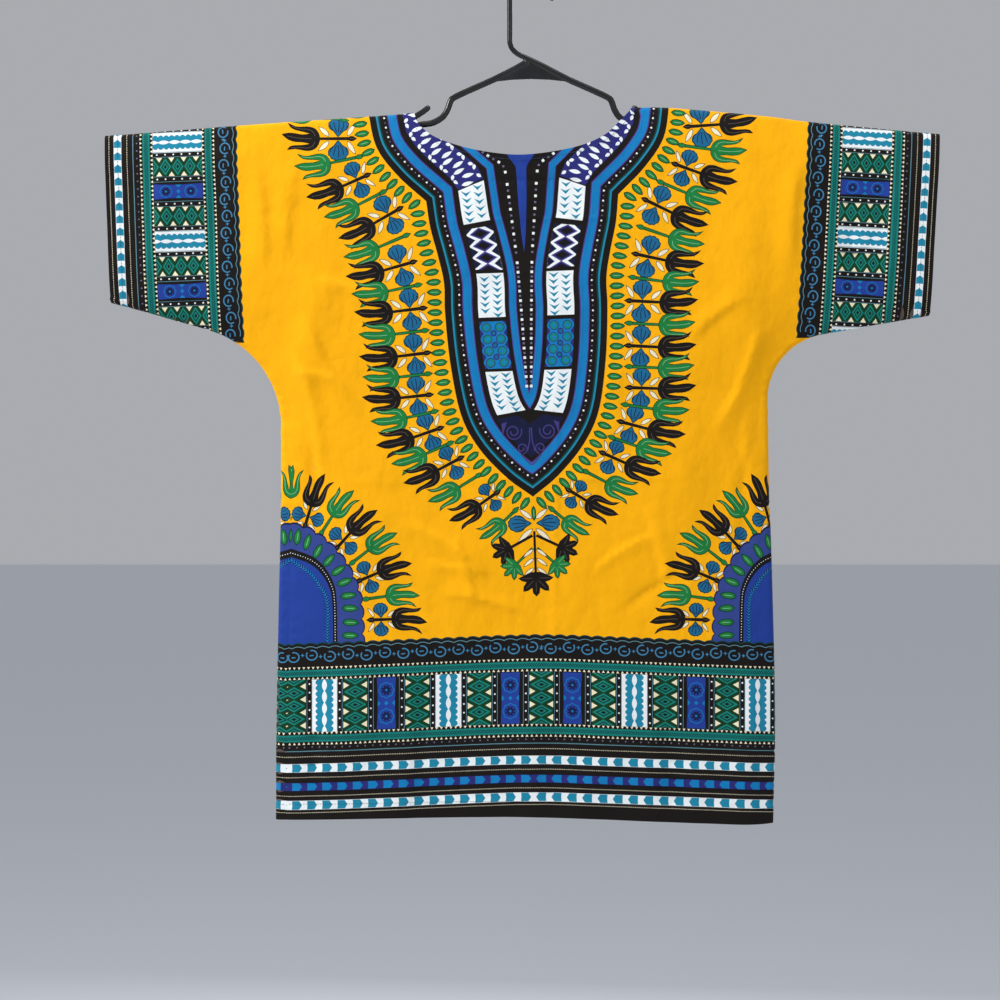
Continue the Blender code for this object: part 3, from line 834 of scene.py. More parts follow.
@dataclass(frozen=True)
class RingPrint:
    """The seeds and flowers that follow the yoke round, and the cluster below its point."""

    yoke: YokePrint
    ring: FlowerRing = FlowerRing(
        (
            (-1, 187.0, -44, 12, 36), (0, 179.4, -23, 2, 36),
            (2, 164.3, 17, -22, 30), (4, 131.0, 54, -28, 33),
            (6, 118.4, 112, -14, 34), (8, 109.5, 162, -5, 34),
            (10, 107.0, 210, -5, 33), (12, 106.3, 255, -4, 32),
            (14, 96.0, 291, -17, 31), (16, 75.3, 323.5, -26, 28),
            (18, 37.5, 361.7, -33, 23.5), (19, 18.5, 381.2, -41, 18),
        ),
        -1,
        19,
    )
    seed_gap: float = 11.0
    seed_pitch: float = 10.8

    def draw(self, sheet: PrintSheet) -> None:
        """Paints both sides and the cluster."""
        whole = Pen(sheet, self.yoke.place)
        for side in (1, -1):
            pen = whole.through(lambda p, side=side: p * (side, 1))
            flowers = pen.through(lambda p: p * (1, -1))
            rows = np.array(self.ring.stations) * (1, 1, -1, 1, 1)
            FlowerRing(rows, self.ring.first, self.ring.last, 39.0).draw(flowers, -1, 0)
            self._seeds(pen)
            self._cluster_side(pen)
        self._cluster_middle(whole)

    def _seeds(self, pen: Pen) -> None:
        """The green seeds square to the yoke's edge."""
        base = self.yoke.edge(0.0)
        outer = base - side_ways(base) * self.seed_gap
        line = smooth_curve(np.vstack([outer[:-2:3], outer[-1:]]), 5.0)
        places, ways = evenly(line, self.seed_pitch, 3.0)
        for spot, way in zip(places, ways):
            if spot[0] < 7:
                continue
            angle = math.degrees(math.atan2(way[1], way[0])) - 90
            MOTIFS.seed(pen.at(spot, angle), 16.8, 7.6)

    def _cluster_side(self, pen: Pen) -> None:
        """One side of the cluster: a blossom, its leaves and two small flowers."""
        MOTIFS.cream_leaf(pen.at((1.4, 392), -36), 18.0, 5.6, 1.0)
        MOTIFS.blossom(pen.at((2.0, 396.5), 0), 26.0, 18.5)
        MOTIFS.cream_leaf(pen.at((1.2, 402), 38), 22.0, 5.8, -1.0)
        flowers = (((2, 409.5), (29.7, 423.5), False, 18.0), ((2.4, 423.0), (22.5, 441.5), True, 15.5))
        for foot, centre, green, reach in flowers:
            way = np.subtract(centre, foot)
            angle = math.degrees(math.atan2(way[1], way[0]))
            stalk = np.array((foot, np.subtract(centre, unit(way) * 2)))
            pen.line(stalk, 3.0, Ink.DARK_GREEN if green else Ink.BLACK)
            if green:
                pen.line(stalk, 1.6, Ink.GREEN)
            MOTIFS.rosette(pen.at(centre, angle), green, reach)
        for down in (424, 434, 444):
            MOTIFS.cream_leaf(pen.at((1.2, down), 34), 15.0, 4.4, -0.8)

    def _cluster_middle(self, pen: Pen) -> None:
        """The middle seed, the black stem and the flower at the very point."""
        MOTIFS.seed(pen.at((0.0, 386.0), 90), 17.0, 5.2)
        pen.line([(0, 405), (0, 456)], 2.6, Ink.BLACK)
        MOTIFS.rosette(pen.at((0, 455.0), 90), False, 20.0)


@dataclass(frozen=True)
class MedallionPrint:
    """The half round flower on each side seam, above the border."""

    left_axis: float = -260.3
    right_axis: float = 275.5
    foot: float = -717.0
    royal: Run = ((0, 85.3), (22.4, 70.2), (32, 57.8), (40.3, 40), (40.3, -8))
    black: Run = ((0, 99.4), (24.8, 90.7), (38.9, 78.8), (48.6, 61.6), (51.8, 42.7), (52.7, -8))
    scalloped: Run = (
        (0, 127), (16.8, 123.2), (27.9, 117.8), (40, 109.6), (52.7, 97.3), (63.7, 83.2), (70.6, 69.8),
        (76.6, 54), (79.6, 38.9), (81, 9.7), (81.4, -8),
    )
    seeds: Run = (
        (0.0, 113.5), (9.3, 111.5), (19.9, 106), (31.3, 96.1), (43.2, 86.4), (53.4, 75.6), (60.3, 63.3),
        (64.4, 48.8), (66.4, 35.1), (67, 19.9), (66.4, 6.0),
    )
    ring: FlowerRing = FlowerRing(
        (
            (0, 0, 130, 90, 23), (2, 34.6, 114.5, 57, 23),
            (4, 67.8, 83.2, 38, 23), (6, 82, 44.7, 8, 23),
            (7, 88, 22.5, 2, 23),
        ),
        0,
        7,
        40.0,
        30.0,
    )

    def draw(self, sheet: PrintSheet) -> None:
        """Paints both medallions, each whole, across its seam."""
        for axis in (self.left_axis, self.right_axis):
            for side in (1, -1):
                pen = Pen(sheet, lambda p, axis=axis, side=side: p * (side, 1) + (axis, self.foot))
                self._half(pen, 0 if side == 1 else 1)

    def _lobed(self, pen: Pen, run: Run, pitch: float, depth: float, ink: Ink) -> None:
        """Fills the ground inside a curve whose edge is drawn in small lobes."""
        line = smooth_curve(run, 6.0)
        if not depth:
            pen.fill(np.vstack([line, [(0.0, run[-1][1])]]), ink)
            return
        whole = lengths_along(line)[-1]
        count = max(1, round(whole / pitch))
        at = np.linspace(0, whole, 8 * count + 1)
        places = read_line(line, at)
        ways = side_ways(places)
        lift = depth * (np.abs(np.sin(np.pi * at / whole * count)) ** 0.7 * 2 - 1)
        edge = places + ways * lift[:, None]
        edge[0, 0] = 0.0
        pen.fill(np.vstack([edge, [(0.0, run[-1][1])]]), ink)

    def _half(self, pen: Pen, first: int) -> None:
        """One half of a medallion, from its axis outwards, from this flower and seed on."""
        replace(self.ring, first=first).draw(pen, 1, 1)
        self._lobed(pen, self.scalloped, 15.5, 1.5, Ink.NAVY)
        self._lobed(pen, np.array(self.scalloped) * 0.984, 15.5, 1.5, Ink.IRIS)
        for spot in self.seeds[first:]:
            angle = math.degrees(math.atan2(max(spot[1] - 38.0, 0.0), spot[0] + 1e-6))
            MOTIFS.seed(pen.at(spot, angle), 19.0, 8.2)
        self._lobed(pen, self.black, 1.0, 0.0, Ink.BLACK)
        dots, _ = evenly(smooth_curve(np.array(self.black) * 0.955, 5.0), 2.9, 1.5)
        for spot in dots[dots[:, 1] > 0]:
            pen.fill(disc(spot, 0.62, 4), Ink.WHITE)
        self._lobed(pen, np.array(self.black) * 0.91, 1.0, 0.0, Ink.ROYAL)
        feathers = smooth_curve(np.array(self.royal) * 1.03, 5.0)
        places, ways = evenly(feathers, 3.1, 1.0)
        for spot, way in zip(places, ways):
            own = pen.at(spot, math.degrees(math.atan2(way[1], way[0])))
            own.fill([(-3.6, -1.6), (0.0, 2.0), (3.6, -1.6), (0.0, 0.0)], Ink.NAVY)
            own.fill([(-2.8, -2.7), (0.0, 1.0), (2.8, -2.7), (0.0, -0.9)], Ink.BRIGHT)


@dataclass(frozen=True)
class Stripe:
    """A stretch of a border between two depths below its scalloped edge."""

    top: float
    foot: float

    @property
    def middle(self) -> float:
        """Its middle depth."""
        return (self.top + self.foot) / 2


@dataclass(frozen=True)
class BorderPrint:
    """A border of scallops, scrolls, beads, panels and arrow rows along an edge.

    It is drawn with a first number along the edge, from the border's axis, and a second one
    inwards from the scallops to the edge of the cloth.
    """

    span: tuple[float, float]
    depth: float
    loops: float
    loop_pitch: float
    beads: tuple[float, ...]
    bead_pitch: float
    teals: tuple[Stripe, ...]
    panels: Stripe
    quarter: float
    first_panel: int
    panel_scale: float
    dim_dots: float
    dim_line: float
    dotted: tuple[float, ...]
    dotted_pitch: float
    arrows: tuple[tuple[Stripe, Ink, Ink], ...]
    arrow_pitch: float
    arrow_way: float = 1.0
    scallop: float = 13.4
    around: bool = True

    def draw(self, pen: Pen) -> None:
        """Paints the whole border."""
        self._ground(pen)
        self._loops(pen)
        for stripe in self.teals:
            self._braid(pen, stripe)
        for number, at in enumerate(self.beads):
            self._beads(pen, at, 1 if number % 2 == 0 else -1)
        self._panels(pen)
        self._dots(pen)
        for stripe, ground, mark in self.arrows:
            self._arrows(pen, stripe, ground, mark)

    def _stations(self, pitch: float, phase: float = 0.0) -> Points:
        """Places along the border at an even pitch, the same on both sides of its axis."""
        low, high = self.span
        first = math.ceil((low - phase) / pitch)
        return np.arange(first, math.floor((high - phase) / pitch) + 1) * pitch + phase

    def _rows(self, low: float, high: float, step: float = 24.0) -> Points:
        """Places close enough together for a long straight edge to follow the border's bend."""
        return np.linspace(low, high, max(2, math.ceil((high - low) / step) + 1))

    def _strip(self, pen: Pen, top: float, foot: float, ink: Ink) -> None:
        """One plain stripe, the border's whole length."""
        at = self._rows(*self.span)
        upper = np.column_stack([at, np.full(len(at), top)])
        lower = np.column_stack([at, np.full(len(at), foot)])[::-1]
        pen.fill(np.vstack([upper, lower]), ink)

    def _ground(self, pen: Pen) -> None:
        """The black ground with its scalloped edge, and the pale line inside the scallops."""
        low, high = self.span
        at = np.arange(low, high, self.scallop / 6)
        rise = 2.3 * np.abs(np.sin(np.pi * at / self.scallop)) ** 0.7
        foot = np.array(((high, self.depth + 30), (low, self.depth + 30)))
        pen.fill(np.vstack([np.column_stack([at, 1.2 - rise]), foot]), Ink.DEEP_TEAL)
        pen.fill(np.vstack([np.column_stack([at, 2.4 - rise]), foot]), Ink.BLACK)
        for number in range(0, len(at) - 6, 6):
            piece = np.column_stack([at, 5.6 - rise])[number : number + 7]
            pen.line(piece, 0.8, Ink.SLATE)

    def _loops(self, pen: Pen) -> None:
        """Blue scrolls along the scalloped band, each with a small star at its end."""
        turns = np.radians(np.linspace(-35, 285, 15))
        for number, at in enumerate(self._stations(self.loop_pitch, self.loop_pitch / 2)):
            way = 1 if at > 0 else -1
            own = pen.through(lambda p, at=at, way=way: p * (way, 1) + (at, self.loops))
            drop = 0.9 if number % 2 else -0.9
            own.line(np.column_stack([np.cos(turns) * 5.9, np.sin(turns) * 5.2 + drop]), 1.4, Ink.WATER)
            own.line([(2.4, 0.6 + drop), (-1.9, 0.2 + drop)], 1.3, Ink.WATER)
            own.fill(star(2.3, 0.9) + (-9.6, -drop), Ink.WATER)

    def _braid(self, pen: Pen, stripe: Stripe) -> None:
        """A teal stripe with a braided dark zigzag."""
        self._strip(pen, stripe.top, stripe.foot, Ink.TEAL)
        low, high = self.span
        half = (stripe.foot - stripe.top) / 2 - 1.4
        pitch = 5.2
        at = np.arange(low, high, pitch / 2)
        for phase in (0, 1):
            sway = half * np.where((np.arange(len(at)) + phase) % 2, 1, -1) * 0.8
            zigzag = np.column_stack([at, stripe.middle + sway])
            for number in range(0, len(at) - 1, 8):
                pen.line(zigzag[number : number + 9], 0.75, Ink.DEEP_TEAL)

    def _beads(self, pen: Pen, at: float, way: float) -> None:
        """A row of small cream triangles."""
        shape = np.array(((-1.5, -1.2 * way), (1.5, -1.2 * way), (0.0, 1.4 * way)))
        for along in self._stations(self.bead_pitch):
            pen.fill(shape + (along, at), Ink.CREAM)

    def _panels(self, pen: Pen) -> None:
        """The row of diamond, flower and wavy panels."""
        kinds = (self._diamond_panel, self._flower_panel, self._diamond_panel, self._wavy_panel)
        height = self.panels.foot - self.panels.top
        for at in self._stations(self.quarter):
            number = round(at / self.quarter)
            number = (abs(number) if self.around else number + self.first_panel) % 4
            pen_here = pen.through(lambda p, at=at: p * (1, height) + (at, self.panels.top))
            kinds[number](pen_here)
        for at in self._stations(self.quarter, self.quarter / 2):
            self._gap(pen, at)

    def _gap(self, pen: Pen, at: float) -> None:
        """The dark strip between two panels, with its white dots."""
        height = self.panels.foot - self.panels.top
        for number in range(6):
            spot = (at, self.panels.top + height * (number + 0.5) / 6)
            pen.fill(disc(spot, 1.0), Ink.WHITE)
        for side in (-1, 1):
            x = at + side * 2.7
            pen.line([(x, self.panels.top + 0.5), (x, self.panels.foot - 0.5)], 0.55, Ink.SLATE)

    def _diamond_panel(self, pen: Pen) -> None:
        """Teal diamonds between green lines, with cream triangles at the edges."""
        half = 12.6 * self.panel_scale
        pen.fill([(-half, 0), (half, 0), (half, 1), (-half, 1)], Ink.DARK_GREEN)
        for middle in (0.0, 0.25, 0.5, 0.75, 1.0):
            for share, ink in ((1.0, Ink.TEAL), (0.70, Ink.DARK_GREEN), (0.48, Ink.TEAL), (0.26, Ink.BLACK)):
                reach, tall = (half - 0.6) * share, 0.118 * share
                ends = np.clip((middle - tall, middle + tall), 0, 1)
                outline = [(-reach, middle), (0, ends[0]), (reach, middle), (0, ends[1])]
                if middle in (0.0, 1.0):
                    outline = [p for p in outline if p[1] != middle or p[0] != 0]
                pen.fill(outline, ink)
        for middle in (0.125, 0.375, 0.625, 0.875):
            for side in (-1, 1):
                x = half * side
                inner = x - side * 6.2 * self.panel_scale
                pen.fill([(x, middle - 0.062), (inner, middle), (x, middle + 0.062)], Ink.CREAM)

    def _flower_panel(self, pen: Pen) -> None:
        """A royal blue panel with two rosettes."""
        half = 10.2 * self.panel_scale
        height = self.panels.foot - self.panels.top
        right = [(half, 0.01), (half - 1.2, 0.5), (half, 0.99)]
        left = [(-half, 0.99), (-half + 1.2, 0.5), (-half, 0.01)]
        pen.fill(right + left, Ink.ROYAL)
        for middle in (0.25, 0.75):
            own = pen.through(lambda p, middle=middle: p * (1, 1 / height) + (0, middle))
            for radius, ink in ((8.2, Ink.BRIGHT), (7.4, Ink.ROYAL)):
                turns = np.linspace(0, 2 * math.pi, 33)[:-1]
                radii = radius * self.panel_scale * (1 + 0.07 * np.cos(8 * turns))
                own.fill(np.column_stack([np.cos(turns), np.sin(turns)]) * radii[:, None], ink)
            for turn in np.arange(8) * 45 + 22.5:
                petal = own.at((0, 0), turn)
                shape = MOTIFS.leaf_outline(5.0 * self.panel_scale, 2.5, 0.0, 3) + (0, 1.0)
                petal.fill(shape, Ink.NAVY)
            own.fill(disc((0, 0), 1.2, 6), Ink.BRIGHT)
        for side in (-1, 1):
            base = side * (half - 1)
            pen.fill([(base, 0.44), (side * (half - 4), 0.5), (base, 0.56)], Ink.BRIGHT)
        pen.fill([(-2.4, 0.5), (0, 0.46), (2.4, 0.5), (0, 0.54)], Ink.BRIGHT)

    def _wavy_panel(self, pen: Pen) -> None:
        """A white panel with two scalloped blue columns and a chain of spindles between."""
        half = 14.2 * self.panel_scale
        pen.fill([(-half, 0), (half, 0), (half, 1), (-half, 1)], Ink.WHITE)
        at = np.linspace(0, 1, 37)
        inner = (0.5 + 2.2 * np.abs(np.sin(np.pi * at * 4.5)) ** 0.9) * self.panel_scale
        outer = (7.6 + 2.4 * np.abs(np.sin(np.pi * at * 9)) ** 0.8) * self.panel_scale
        for side in (-1, 1):
            edges = [np.column_stack([side * outer, at]), np.column_stack([side * inner, at])[::-1]]
            pen.fill(np.vstack(edges), Ink.LAGOON)

    def _dots(self, pen: Pen) -> None:
        """The dim dots, the thin line and the fine dotted rows below the panels."""
        for along in self._stations(8.2):
            pen.fill(disc((along, self.dim_dots), 0.95, 5), Ink.DIM)
        self._strip(pen, self.dim_line - 0.45, self.dim_line + 0.45, Ink.SLATE)
        half = 0.40
        square = np.array(((-half, -half), (half, -half), (half, half), (-half, half)))
        for row in self.dotted:
            for along in self._stations(self.dotted_pitch):
                pen.fill(square + (along, row), Ink.CREAM)

    def _arrows(self, pen: Pen, stripe: Stripe, ground: Ink, mark: Ink) -> None:
        """A row of arrow cells that point to the border's axis."""
        self._strip(pen, stripe.top, stripe.foot, ground)
        pitch = self.arrow_pitch
        for along in self._stations(pitch):
            way = self.arrow_way * (1 if along >= 0 else -1)
            shares = (0.32, -0.16, -0.34, 0.30)
            back, mid, tip, notch = (along + way * share * pitch for share in shares)
            top, foot, middle = stripe.top + 0.3, stripe.foot - 0.3, stripe.middle
            ends = [(back, top), (mid, top), (tip, middle), (mid, foot), (back, foot), (notch, middle)]
            pen.fill(ends, mark)


HEM_BORDER = BorderPrint(
    span=(-330.0, 320.0),
    depth=196.0,
    loops=13.5,
    loop_pitch=19.7,
    beads=(26.5, 37.3, 96.4, 107.4),
    bead_pitch=5.1,
    teals=(Stripe(28.4, 35.6), Stripe(98.2, 105.6)),
    panels=Stripe(38.9, 95.0),
    quarter=33.2,
    first_panel=0,
    panel_scale=1.0,
    dim_dots=111.4,
    dim_line=115.6,
    dotted=(121.6, 143.6, 163.6, 181.4),
    dotted_pitch=1.9,
    arrows=(
        (Stripe(129.0, 138.2), Ink.WHITE, Ink.LAGOON),
        (Stripe(149.4, 158.0), Ink.INDIGO, Ink.BRIGHT),
        (Stripe(168.5, 178.2), Ink.WHITE, Ink.LAGOON),
    ),
    arrow_pitch=16.4,
)
SLEEVE_BORDER = BorderPrint(
    span=(-30.0, 220.0),
    depth=142.0,
    loops=13.5,
    loop_pitch=18.2,
    beads=(25.4, 36.0, 92.0, 103.2),
    bead_pitch=4.7,
    teals=(Stripe(27.0, 34.4), Stripe(93.8, 101.6)),
    panels=Stripe(37.4, 90.5),
    quarter=26.75,
    first_panel=3,
    panel_scale=0.80,
    dim_dots=107.6,
    dim_line=111.8,
    dotted=(118.2, 137.4),
    dotted_pitch=1.9,
    arrows=((Stripe(124.2, 132.3), Ink.WHITE, Ink.LAGOON),),
    arrow_pitch=13.5,
    around=False,
)


@dataclass(frozen=True)
class ShirtPrint:
    """The whole print of one side of the shirt."""

    yoke: YokePrint = YokePrint()
    medallions: MedallionPrint = MedallionPrint()
    hem_axis: float = 10.8
    hem_top: float = -710.6
    hem_sag: float = 0.0435
    cuffs: tuple[tuple[Run, float], ...] = (
        (((-459.0, -174.0), (-452.5, -353.0)), 1.0),
        (((440.0, -172.0), (429.0, -367.0)), -1.0),
    )
    cuff_shift: float = 10.0

    def sheet(self) -> PrintSheet:
        """Paints everything, the ground being the first ink."""
        sheet = PrintSheet()
        RingPrint(self.yoke).draw(sheet)
        self.yoke.draw(sheet)
        self.medallions.draw(sheet)
        HEM_BORDER.draw(Pen(sheet, self._on_hem))
        for (top, foot), side in self.cuffs:
            down = unit(np.subtract(foot, top))
            inwards = np.array((-down[1], down[0])) * side
            start = np.asarray(top) + down * self.cuff_shift
            deep = SLEEVE_BORDER.depth
            SLEEVE_BORDER.draw(
                Pen(sheet, lambda p, s=start, d=down, i=inwards: s + p[:, :1] * d + (deep - p[:, 1:]) * i)
            )
        return sheet

    def _on_hem(self, points: Points) -> Points:
        """From along and down the hem border to the flat cloth."""
        along, down = points.T
        sag = self.hem_sag * (np.hypot(along, 32) - 32)
        return np.column_stack([self.hem_axis + along, self.hem_top - sag - down])


# ---------------------------------------------------------------- the hanging cloth, in metres


class Side(Enum):
    """Which half of the shirt a panel is."""

    FRONT = "front"
    BACK = "back"

    @property
    def turn(self) -> int:
        """1 for the front and -1 for the back."""
        return 1 if self is Side.FRONT else -1


@dataclass(frozen=True)
class Near:
    """Where places lie beside a rim: how far in, its nearest point, the way in, and which stretch."""

    distance: Points
    foot: Points
    way: Points
    stretch: Points


class Rim:
    """A line where the cloth turns from front to back, with the way in to the cloth at each point."""

    chunk: int = 6000

    def __init__(self, points: Points, inside: Run, first_way: Points, last_way: Points) -> None:
        """Works out the way in to the cloth along the line.

        Args:
            points: The line.
            inside: A place within the cloth.
            first_way: The way in at the line's start, along an open edge.
            last_way: The way in at its end.
        """
        self.points = points
        along = unit_rows(np.gradient(points, axis=0))
        ways = np.column_stack([-along[:, 1], along[:, 0]])
        middle = len(points) // 2
        if ways[middle] @ (np.array(inside) - points[middle]) < 0:
            ways = -ways
        reach = 0.026
        for end, way, lengths in (
            (0, first_way, lengths_along(points)),
            (-1, last_way, lengths_along(points[::-1])[::-1]),
        ):
            share = np.clip(1 - lengths / reach, 0, 1)[:, None]
            ways = ways * (1 - share) + np.asarray(way) * share
        self.ways = unit_rows(ways)

    def moved(self, run: float | Points) -> Points:
        """The line at this run of cloth from the crest, on the cloth laid flat."""
        return self.points + self.ways * np.reshape(np.asarray(run) - ClothForm.fold_extra, (-1, 1))

    def nearest(self, places: Points, hint: Points | None = None) -> Near:
        """Finds the nearest point of the line to each place.

        Args:
            places: The places on the flat cloth.
            hint: The stretch that each lies beside, where that is known nearly.

        Returns:
            Where they lie.
        """
        first, step = self.points[:-1], np.diff(self.points, axis=0)
        if hint is None:
            parts = np.array_split(places, len(places) // self.chunk + 1)
            gaps = (beside(part[:, None], first, step)[1] for part in parts)
            best = np.concatenate([(gap**2).sum(2).argmin(1) for gap in gaps])
        else:
            tries = np.clip(hint[:, None] + np.arange(-1, 2), 0, len(first) - 1)
            _, gap = beside(places[:, None], first[tries], step[tries])
            best = tries[np.arange(len(places)), (gap**2).sum(2).argmin(1)]
        share, gap = beside(places, first[best], step[best])
        way = unit_rows(self.ways[best] * (1 - share) + self.ways[best + 1] * share)
        distance = np.copysign(np.linalg.norm(gap, axis=1), (gap * way).sum(1))
        return Near(distance, first[best] + step[best] * share, way, best)


@dataclass(frozen=True)
class Crease:
    """A soft ridge or trough: its two ends, its half width, its height and how far it bows."""

    start: tuple[float, float]
    end: tuple[float, float]
    width: float
    height: float
    bow: float = 0.0
    sharp: float = 0.0

    def lift(self, places: Points) -> Points:
        """How far it stands out at each place."""
        start = np.array(self.start)
        whole = np.subtract(self.end, self.start)
        length = float(np.linalg.norm(whole))
        way = whole / length
        offset = places - start
        along = offset @ way / length
        across = offset @ np.array((-way[1], way[0])) - self.bow * 4 * along * (1 - along)
        across = across / (self.width * (1 - self.sharp * np.sign(across)))
        ends = eased(along * 3) * eased((1 - along) * 3)
        return self.height * ends * np.exp(-(across**2))


def creases_from(rows: Run) -> tuple[Crease, ...]:
    """Creases from rows of two ends, half width, height and bow in millimetres, and sharpness."""
    return tuple(
        Crease((x / 1000, z / 1000), (far_x / 1000, far_z / 1000), *(value / 1000 for value in shape), sharp)
        for x, z, far_x, far_z, *shape, sharp in rows
    )


class ClothForm:
    """The shape of the hanging shirt: where each place of the flat cloth comes to lie."""

    fold_radius: float = 0.006
    fold_turn: float = math.radians(78)
    fold_extra: float = 0.006 * (math.radians(78) - 1 + math.cos(math.radians(78)))
    seam_turn: float = 0.015
    turn_top: float = -0.44
    turn_full: float = -0.54
    step: float = 0.0005
    crease_strength: float = 1.6
    fold_clear: float = 0.012
    fold_ease: float = 0.030
    reach: float = 0.03

    left_cuff_top: tuple[float, float] = (-0.459, -0.174)
    left_neck: tuple[float, float] = (-0.1264, -0.149)
    right_cuff_top: tuple[float, float] = (0.440, -0.172)
    right_neck: tuple[float, float] = (0.109, -0.1436)
    left_shoulder: Run = (left_cuff_top, (-0.320, -0.163), (-0.163, -0.152), left_neck)
    right_shoulder: Run = (right_neck, (0.151, -0.1436), (0.253, -0.1525), (0.304, -0.159), right_cuff_top)
    left_cuff_foot: tuple[float, float] = (-0.4525, -0.353)
    left_armpit: tuple[float, float] = (-0.269, -0.405)
    left_armpit_radius: float = 0.110
    left_side: Run = ((-0.2695, -0.573), (-0.272, -0.687), (-0.2745, -0.823), (-0.2745, -0.910))
    right_cuff_foot: tuple[float, float] = (0.429, -0.367)
    right_armpit: tuple[float, float] = (0.254, -0.398)
    right_armpit_radius: float = 0.072
    right_side: Run = ((0.2565, -0.563), (0.259, -0.625), (0.263, -0.800), (0.2605, -0.9137))
    neckline: Run = (
        (-0.1215, -0.161), (-0.1015, -0.177), (-0.060, -0.190), (-0.010, -0.1955), (0.043, -0.188),
        (0.077, -0.175), (0.0975, -0.156),
    )
    hem: Run = ((-0.1415, -0.907), (-0.002, -0.906), (0.1156, -0.910), (0.2257, -0.9145))
    body_depths: Run = ((-0.140, 0.0110), (-0.350, 0.0155), (-0.620, 0.0165), (-0.915, 0.0145))
    body_middle: float = -0.008
    sleeve_from: float = 0.24
    sleeve_to: float = 0.44
    sleeve_depth: float = 0.0095

    main_folds: dict[Side, tuple[Crease, ...]] = {
        Side.FRONT: creases_from((
            (-217, -300, -262, -500, 20, 3, 0, 0), (226, -235, 243, -470, 22, 3.2, 0, 0),
            (190, -400, 205, -700, 26, -2.5, 0, 0), (-200, -930, -190, -700, 30, 2.8, 0, 0),
            (-60, -940, -70, -720, 34, -2.4, 0, 0), (85, -940, 80, -680, 34, 2.8, 0, 0),
            (200, -940, 190, -740, 26, -2.2, 0, 0),
        )),
        Side.BACK: creases_from((
            (-215, -290, -250, -490, 22, 3, 0, 0), (215, -280, 238, -480, 22, 2.8, 0, 0),
            (-120, -940, -125, -640, 34, 2.8, 0, 0), (30, -940, 20, -700, 36, -2.4, 0, 0),
            (165, -940, 160, -620, 32, 2.6, 0, 0),
        )),
    }
    creases: dict[Side, tuple[Crease, ...]] = {
        Side.FRONT: creases_from((
            (-236, -330, -150, -360, 7.5, 1.6, 6, 0.3), (-245, -360, -180, -470, 9, 1.8, -10, 0.4),
            (-258, -395, -225, -560, 8, 2, 8, -0.4), (-240, -500, -228, -600, 7, -1.8, 4, 0.3),
            (-262, -430, -205, -440, 6, 1.2, 4, 0.3), (236, -345, 165, -400, 8, 1.6, -6, 0.4),
            (246, -370, 190, -500, 9, 1.9, 10, -0.4), (250, -400, 215, -560, 7, 1.5, 6, 0.3),
            (222, -470, 232, -650, 8, -1.8, 4, 0.3), (-145, -585, -40, -650, 6, 1.5, 6, 0.4),
            (-120, -630, -30, -640, 5, 1.1, -4, 0.4), (-105, -665, 0, -690, 6, 1.3, 4, -0.4),
            (-160, -640, -110, -700, 5.5, -1.2, 3, 0.3), (-85, -600, -60, -690, 6, 1.2, 4, 0.3),
            (60, -650, 140, -600, 6, 1.2, 6, 0.4), (90, -690, 170, -640, 6, -1.1, 4, 0.4),
            (120, -560, 150, -690, 8, 1.4, 6, -0.3), (-300, -200, -290, -330, 10, 2, 6, 0.3),
            (-335, -190, -350, -340, 11, -1.8, 4, 0.3), (-400, -200, -408, -330, 12, 1.8, 5, -0.3),
            (-250, -190, -262, -320, 11, 1.5, -6, 0.3), (290, -190, 280, -330, 10, 1.8, -6, 0.3),
            (335, -195, 342, -350, 11, -1.8, 4, 0.3), (392, -200, 386, -350, 12, 1.8, 4, -0.3),
            (-215, -540, -170, -640, 9, 1.4, 6, 0.3), (-240, -720, -236, -900, 13, -1.8, 4, 0.3),
            (-130, -740, -140, -930, 14, 1.8, 4, 0.3), (10, -730, 4, -930, 14, 1.4, -6, 0.3),
            (140, -740, 150, -930, 14, -1.8, 4, -0.3), (238, -660, 236, -900, 11, 1.6, 4, 0.3),
            (-175, -228, 165, -219, 2.2, -0.5, 0, 0), (-140, -268, 150, -262, 2.2, 0.4, 0, 0),
            (21, -930, 30, -260, 3.5, 0.4, 0, 0), (-260, -548, 240, -540, 3.5, 0.4, 0, 0),
        )),
        Side.BACK: creases_from((
            (-232, -335, -140, -380, 8, 1.6, 6, 0.3), (-240, -370, -170, -500, 9, 1.8, -8, 0.4),
            (-252, -400, -220, -580, 8, -1.7, 6, 0.3), (228, -340, 150, -380, 8, 1.6, -6, 0.4),
            (238, -370, 180, -490, 9, 1.8, 10, -0.4), (245, -400, 220, -570, 8, 1.6, 6, 0.3),
            (-110, -560, -10, -630, 7, 1.3, 6, 0.4), (-80, -620, 20, -660, 6, -1.1, -4, 0.4),
            (40, -590, 120, -650, 6.5, 1.2, 5, 0.3), (-300, -200, -292, -330, 10, 1.9, 6, 0.3),
            (-345, -190, -352, -340, 11, -1.7, 4, 0.3), (-405, -200, -400, -330, 12, 1.8, 5, -0.3),
            (295, -190, 284, -330, 10, 1.8, -6, 0.3), (340, -195, 350, -350, 11, -1.8, 4, 0.3),
            (395, -200, 390, -350, 12, 1.7, 4, -0.3), (-220, -700, -214, -930, 14, -1.8, 4, 0.3),
            (-50, -700, -58, -930, 14, 1.8, 4, 0.3), (100, -730, 94, -930, 14, -1.5, -6, 0.3),
            (228, -680, 232, -930, 12, 1.7, 4, -0.3), (21, -930, 26, -230, 3.5, 0.4, 0, 0),
            (-250, -548, 250, -540, 3.5, 0.4, 0, 0),
        )),
    }

